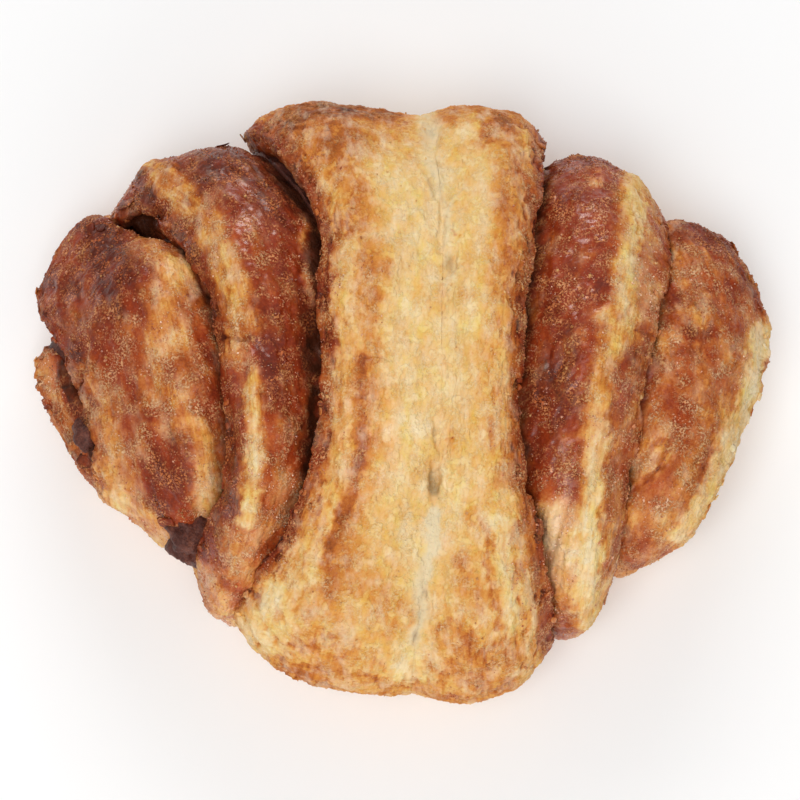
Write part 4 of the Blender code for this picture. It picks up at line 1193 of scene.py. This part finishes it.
def maths(tree, operation, a, b=0.0, c=0.0, clamp=False):
    """Result of a maths node on up to three sockets or numbers."""
    inputs = {0: a, 1: b, 2: c}
    return add_node(tree, "ShaderNodeMath", inputs, operation=operation, use_clamp=clamp).outputs[0]


def noise(tree, vector, size_mm, detail, roughness):
    """Noise value of about 0 to 1 whose cells are this many millimetres wide on coordinates in metres."""
    inputs = {"Vector": vector, "Scale": 1 / (size_mm * METRES), "Detail": detail, "Roughness": roughness}
    return add_node(tree, "ShaderNodeTexNoise", inputs).outputs["Fac"]


def ramp(tree, factor, stops):
    """Colour ramp through (place, sRGB colour) stops."""
    node = add_node(tree, "ShaderNodeValToRGB", {"Fac": factor})
    elements = node.color_ramp.elements
    while len(elements) < len(stops):
        elements.new(0.5)
    for element, (at, colour) in zip(elements, stops):
        element.position = at
        element.color = linear(*colour)
    return node.outputs["Color"]


def mix(tree, factor, a, b, blend="MIX"):
    """Colour a turned into colour b by a factor."""
    node = add_node(tree, "ShaderNodeMix", {0: factor, 6: a, 7: b}, data_type="RGBA", blend_type=blend)
    return node.outputs[2]


def grain_group():
    """Speckle and pits of baked sugar and crumb, for the crust, the filling and the grains."""
    inputs, outputs = ("Mottle", "Speckle"), ("Mottle", "Speckle", "Flake", "Sugar", "Height")
    group, given, made = new_group("baked_grain", inputs, outputs)
    place_at = add_node(group, "ShaderNodeTexCoord").outputs["Object"]
    drawn_out = add_node(group, "ShaderNodeMapping", {"Vector": place_at, "Scale": MOTTLE_SCALE}).outputs[0]
    mottle = noise(group, drawn_out, *MOTTLE)
    speckle = noise(group, place_at, *SPECKLE)
    flake = maths(group, "SUBTRACT", noise(group, place_at, *FLAKE_EDGES), 0.5)
    flake = maths(group, "MULTIPLY", flake, 14.0, clamp=True)
    # Sugar specks: clusters of fine noise. The crust also lightens its colour with them as painted glints.
    fine = maths(group, "SUBTRACT", noise(group, place_at, *SUGAR_FINE), SUGAR_FROM)
    patch = maths(group, "SUBTRACT", noise(group, place_at, *SUGAR_PATCH), SUGAR_FROM)
    patch = maths(group, "MULTIPLY", patch, 8.0, clamp=True)
    sugar = maths(group, "MULTIPLY", maths(group, "MULTIPLY", fine, 11.0, clamp=True), patch)
    pits = add_node(group, "ShaderNodeTexVoronoi", {"Vector": place_at, "Scale": 1 / (PIT_SIZE * METRES)})
    pits = maths(group, "MULTIPLY", pits.outputs["Distance"], 0.15)
    height = maths(group, "ADD", maths(group, "MULTIPLY", speckle, 0.4), pits)
    height = maths(group, "MULTIPLY_ADD", sugar, 0.7, height)
    mottle = maths(group, "MULTIPLY", maths(group, "SUBTRACT", mottle, 0.5), given.outputs["Mottle"])
    speckle = maths(group, "MULTIPLY", maths(group, "SUBTRACT", speckle, 0.5), given.outputs["Speckle"])
    results = {"Mottle": mottle, "Speckle": speckle, "Flake": flake, "Sugar": sugar, "Height": height}
    feed(group, made, results)
    return group


def crust_material():
    """Crust: bake runs from cream to dark brown, coat turns it russet, dark syrup and painted shade in
    grooves, pores and hollows darken it, and dry whitens it. Sugar specks lighten it, as pale sugar and as
    painted glints. Streaks follow the strip, and the melted coat is glossy."""
    material, tree, shader = new_material("crust")

    def times(a, b, clamp=False):
        return maths(tree, "MULTIPLY", a, b, clamp=clamp)

    def times_add(a, b, c, clamp=False):
        return maths(tree, "MULTIPLY_ADD", a, b, c, clamp=clamp)

    masks = {}
    for name in MASKS:
        masks[name] = add_node(tree, "ShaderNodeAttribute", attribute_name=name).outputs["Fac"]
    coat_mask, gloss, strand = masks["coat"], masks["gloss"], masks["strand"]
    strengths = {"Mottle": 0.34, "Speckle": 0.75}
    grain = add_node(tree, "ShaderNodeGroup", strengths, node_tree=grain_group()).outputs
    mottle, speckle = grain["Mottle"], grain["Speckle"]
    place_at = add_node(tree, "ShaderNodeTexCoord").outputs["Object"]
    strip = add_node(tree, "ShaderNodeUVMap", uv_map="along_strip").outputs["UV"]
    stretched = add_node(tree, "ShaderNodeMapping", {"Vector": strip, "Scale": STREAK_SCALE}).outputs[0]
    streaks = {"Vector": stretched, "Scale": 1.0, "Detail": 3.0}
    streaks = add_node(tree, "ShaderNodeTexNoise", streaks).outputs["Fac"]
    streak = times(maths(tree, "SUBTRACT", streaks, 0.5), 0.55)
    flake = times(maths(tree, "SUBTRACT", 1.0, coat_mask), grain["Flake"])
    bake = times_add(mottle, times_add(coat_mask, 0.62, 0.38), masks["bake"])
    bake = times_add(speckle, times_add(coat_mask, 0.18, 0.24), bake)
    bake = times_add(flake, -0.1, bake)
    bake = times_add(streak, times_add(strand, 0.95, 0.05), bake, clamp=True)
    coat = times_add(speckle, 0.6, coat_mask, clamp=True)
    colour = mix(tree, coat, ramp(tree, bake, GOLD), ramp(tree, bake, RUSSET))

    bare = maths(tree, "SUBTRACT", 1.0, coat_mask, clamp=True)
    drawn_out = add_node(tree, "ShaderNodeMapping", {"Vector": place_at, "Scale": HUE_SCALE}).outputs[0]
    hue = maths(tree, "SUBTRACT", noise(tree, drawn_out, *HUE), 0.5)
    colour = mix(tree, times(times(hue, 5.0, clamp=True), bare), colour, YELLOWING, "MULTIPLY")
    white = times(times(hue, -4.0, clamp=True), times(bare, 0.5))
    colour = mix(tree, white, colour, linear(*WHITENING))
    # Sugar specks lighten the colour to a paler bake: pale sugar, and painted glints of light on it.
    pale_sugar_and_glint = times(grain["Sugar"], times_add(coat_mask, 0.75, 0.25))
    paler = maths(tree, "SUBTRACT", bake, 0.5, clamp=True)
    colour = mix(tree, pale_sugar_and_glint, colour, mix(tree, coat_mask, ramp(tree, paler, GOLD), ramp(tree, paler, RUSSET)))
    dry = times(times_add(speckle, 1.0, masks["dry"], clamp=True), masks["dry"])
    colour = mix(tree, dry, colour, linear(*DRY))
    # Dark syrup, and painted shade in grooves, pores and hollows.
    syrup_and_shade = times(times_add(mottle, 1.0, masks["syrup_and_shade"], clamp=True), masks["syrup_and_shade"], clamp=True)
    colour = mix(tree, syrup_and_shade, colour, linear(*SYRUP_AND_SHADE_COLOUR))

    rough_share = times(times_add(coat_mask, 0.75, 0.25), times_add(gloss, -0.45, 1.0))
    height = times(grain["Height"], rough_share)
    height = times_add(streaks, times(strand, 0.6), height)
    height = times_add(flake, 0.3, height)
    relief = {"Height": height, "Strength": 1.0, "Distance": CRUST_BUMP * METRES}
    feed(tree, shader, {
        "Base Color": colour, "Normal": add_node(tree, "ShaderNodeBump", relief).outputs["Normal"],
        "Roughness": times_add(speckle, 0.3, times_add(gloss, -0.3, 0.5), clamp=True),
        "Specular IOR Level": times_add(gloss, 0.25, 0.1), "Specular Tint": linear(*WARM),
        "Coat Weight": times(gloss, 0.8, clamp=True), "Coat Roughness": 0.2, "Coat Tint": linear(*WARM),
        "Subsurface Weight": 0.06, "Subsurface Radius": (0.9, 0.45, 0.2), "Subsurface Scale": 0.0012,
    })
    return material


def filling_material():
    """Cinnamon filling: near-black syrup with brown sugar specks, wet and glossy."""
    material, tree, shader = new_material("cinnamon_filling")
    grain = add_node(tree, "ShaderNodeGroup", node_tree=bpy.data.node_groups["baked_grain"]).outputs
    level = maths(tree, "ADD", grain["Mottle"], grain["Speckle"])
    level = maths(tree, "ADD", level, 0.5, clamp=True)
    relief = {"Height": grain["Height"], "Strength": 0.8, "Distance": FILLING_BUMP * METRES}
    feed(tree, shader, {
        "Base Color": ramp(tree, level, SYRUP), "Roughness": 0.5, "Specular IOR Level": 0.3,
        "Specular Tint": linear(*WARM), "Coat Weight": 0.05, "Coat Roughness": 0.2,
        "Normal": add_node(tree, "ShaderNodeBump", relief).outputs["Normal"],
    })
    return material


def grain_material(name, stops, roughness):
    """Grains whose colour is read along the stops by each grain's own tint."""
    material, tree, shader = new_material(name)
    tint = add_node(tree, "ShaderNodeAttribute", attribute_name="tint").outputs["Fac"]
    grain = add_node(tree, "ShaderNodeGroup", node_tree=bpy.data.node_groups["baked_grain"]).outputs
    level = maths(tree, "MULTIPLY_ADD", grain["Mottle"], 0.6, tint, clamp=True)
    feed(tree, shader, {"Base Color": ramp(tree, level, stops), "Roughness": roughness})
    return material


def area_light(name, place_at, aim, size, power):
    """A white rectangular light that faces its aim."""
    light = bpy.data.lights.new(name, "AREA")
    light.shape = "RECTANGLE"
    light.size, light.size_y = size
    light.energy = power
    made = bpy.data.objects.new(name, light)
    made.location = place_at
    made.rotation_euler = (Vector(aim) - Vector(place_at)).to_track_quat("-Z", "Y").to_euler()
    bpy.context.scene.collection.objects.link(made)


def plain_material(name, colour, roughness):
    """A material of one colour."""
    material, tree, shader = new_material(name)
    feed(tree, shader, {"Base Color": (*colour, 1), "Roughness": roughness})
    return material


class BUN_OT_dough(bpy.types.Operator):
    """Build the four turns of dough with their crust"""

    bl_idname = "cinnamon_bun.dough"
    bl_label = "Dough turns"

    def execute(self, context):
        material = crust_material()
        pieces = [turn_piece(turn, material) for turn in range(len(PIECES))]
        for piece in pieces:
            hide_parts("dough")
        flake_piece(pieces, settings().dough.flakes, material)
        return {"FINISHED"}


class BUN_OT_filling(bpy.types.Operator):
    """Build the cinnamon filling between the turns"""

    bl_idname = "cinnamon_bun.filling"
    bl_label = "Cinnamon filling"

    def execute(self, context):
        material = filling_material()
        for layer in range(len(FILLING_NODES)):
            filling_piece(layer, material)
        lump_piece([bpy.data.objects[name] for name in PIECES], material)
        return {"FINISHED"}


class BUN_OT_sugar(bpy.types.Operator):
    """Scatter sugar grains and crumbs over the coated crust"""

    bl_idname = "cinnamon_bun.sugar"
    bl_label = "Sugar and crumbs"

    def execute(self, context):
        sugar = settings().sugar
        pieces = [bpy.data.objects[name] for name in PIECES]
        material = grain_material("sugar", AMBER, 0.22)
        grain_piece("sugar_grains", pieces, "coat", sugar.count, sugar.size, 0.75, material, SEED + 101)
        material = grain_material("crumb", TOAST, 0.6)
        grain_piece("crumbs", pieces, "bake", sugar.crumbs, sugar.size * 1.5, 0.6, material, SEED + 103)
        return {"FINISHED"}


class BUN_OT_stage(bpy.types.Operator):
    """Set up the floor, the lights and the camera"""

    bl_idname = "cinnamon_bun.stage"
    bl_label = "Floor, lights and camera"

    def execute(self, context):
        stage = settings().stage
        low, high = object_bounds()
        size = max(high - low)
        mesh = bpy.data.meshes.new("floor")
        reach = 12 * size
        sides = ((-reach, -reach), (reach, -reach), (reach, reach), (-reach, reach))
        mesh.from_pydata([(*corner, low.z) for corner in sides], [], [(0, 1, 2, 3)])
        mesh.materials.append(plain_material("floor", stage.floor_colour, 0.9))
        floor = bpy.data.objects.new("floor", mesh)
        context.scene.collection.objects.link(floor)
        floor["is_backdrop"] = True

        world = bpy.data.worlds.new("soft_surround")
        world.use_nodes = True
        background = world.node_tree.nodes["Background"]
        background.inputs["Color"].default_value = (1, 1, 1, 1)
        background.inputs["Strength"].default_value = stage.ambient
        context.scene.world = world
        context.scene.view_settings.view_transform = "Standard"
        for name, place_at, aim, sides, share in LIGHTS:
            area_light(name, place_at, aim, sides, stage.key_power * share)

        tilt = np.radians(ELEVATION)
        aim = Vector((AIM + OFF_CENTRE) * METRES)
        towards = Vector((0, -np.cos(tilt), np.sin(tilt)))
        data = bpy.data.cameras.new("camera")
        data.lens, data.sensor_width = LENS, SENSOR
        data.clip_start, data.clip_end = 0.01, 20
        camera = bpy.data.objects.new("camera", data)
        camera.location = aim + towards * DISTANCE * METRES
        camera.rotation_euler = (-towards).to_track_quat("-Z", "Y").to_euler()
        context.scene.collection.objects.link(camera)
        context.scene.camera = camera
        return {"FINISHED"}


class BUN_PT_panel(bpy.types.Panel):
    """Lists the sizes and the builders of the bun"""

    bl_idname = "BUN_PT_panel"
    bl_label = "Cinnamon bun"
    bl_space_type = "VIEW_3D"
    bl_region_type = "UI"
    bl_category = "Cinnamon bun"

    def draw(self, context):
        bun = settings()
        for group in (bun.dough, bun.sugar, bun.stage):
            box = self.layout.box()
            for name in group.__annotations__:
                box.prop(group, name)
        for operator in OPERATORS:
            self.layout.operator(operator.bl_idname)


class BunSettings(bpy.types.PropertyGroup):
    """All settings of the bun."""

    dough: PointerProperty(name="Dough", description="Relief of the crust", type=DoughSettings)
    sugar: PointerProperty(name="Sugar", description="Sugar grains and crumbs", type=SugarSettings)
    stage: PointerProperty(name="Stage", description="Floor and lights", type=StageSettings)


OPERATORS = (BUN_OT_dough, BUN_OT_filling, BUN_OT_sugar, BUN_OT_stage)
CLASSES = (DoughSettings, SugarSettings, StageSettings, BunSettings, *OPERATORS, BUN_PT_panel)


def register():
    for cls in CLASSES:
        bpy.utils.register_class(cls)
    bpy.types.Scene.cinnamon_bun = PointerProperty(type=BunSettings)


def unregister():
    del bpy.types.Scene.cinnamon_bun
    for cls in reversed(CLASSES):
        bpy.utils.unregister_class(cls)


def main():
    register()
    bpy.ops.cinnamon_bun.dough()
    bpy.ops.cinnamon_bun.filling()
    bpy.ops.cinnamon_bun.sugar()
    bpy.ops.cinnamon_bun.stage()


if __name__ == "__main__":
    main()
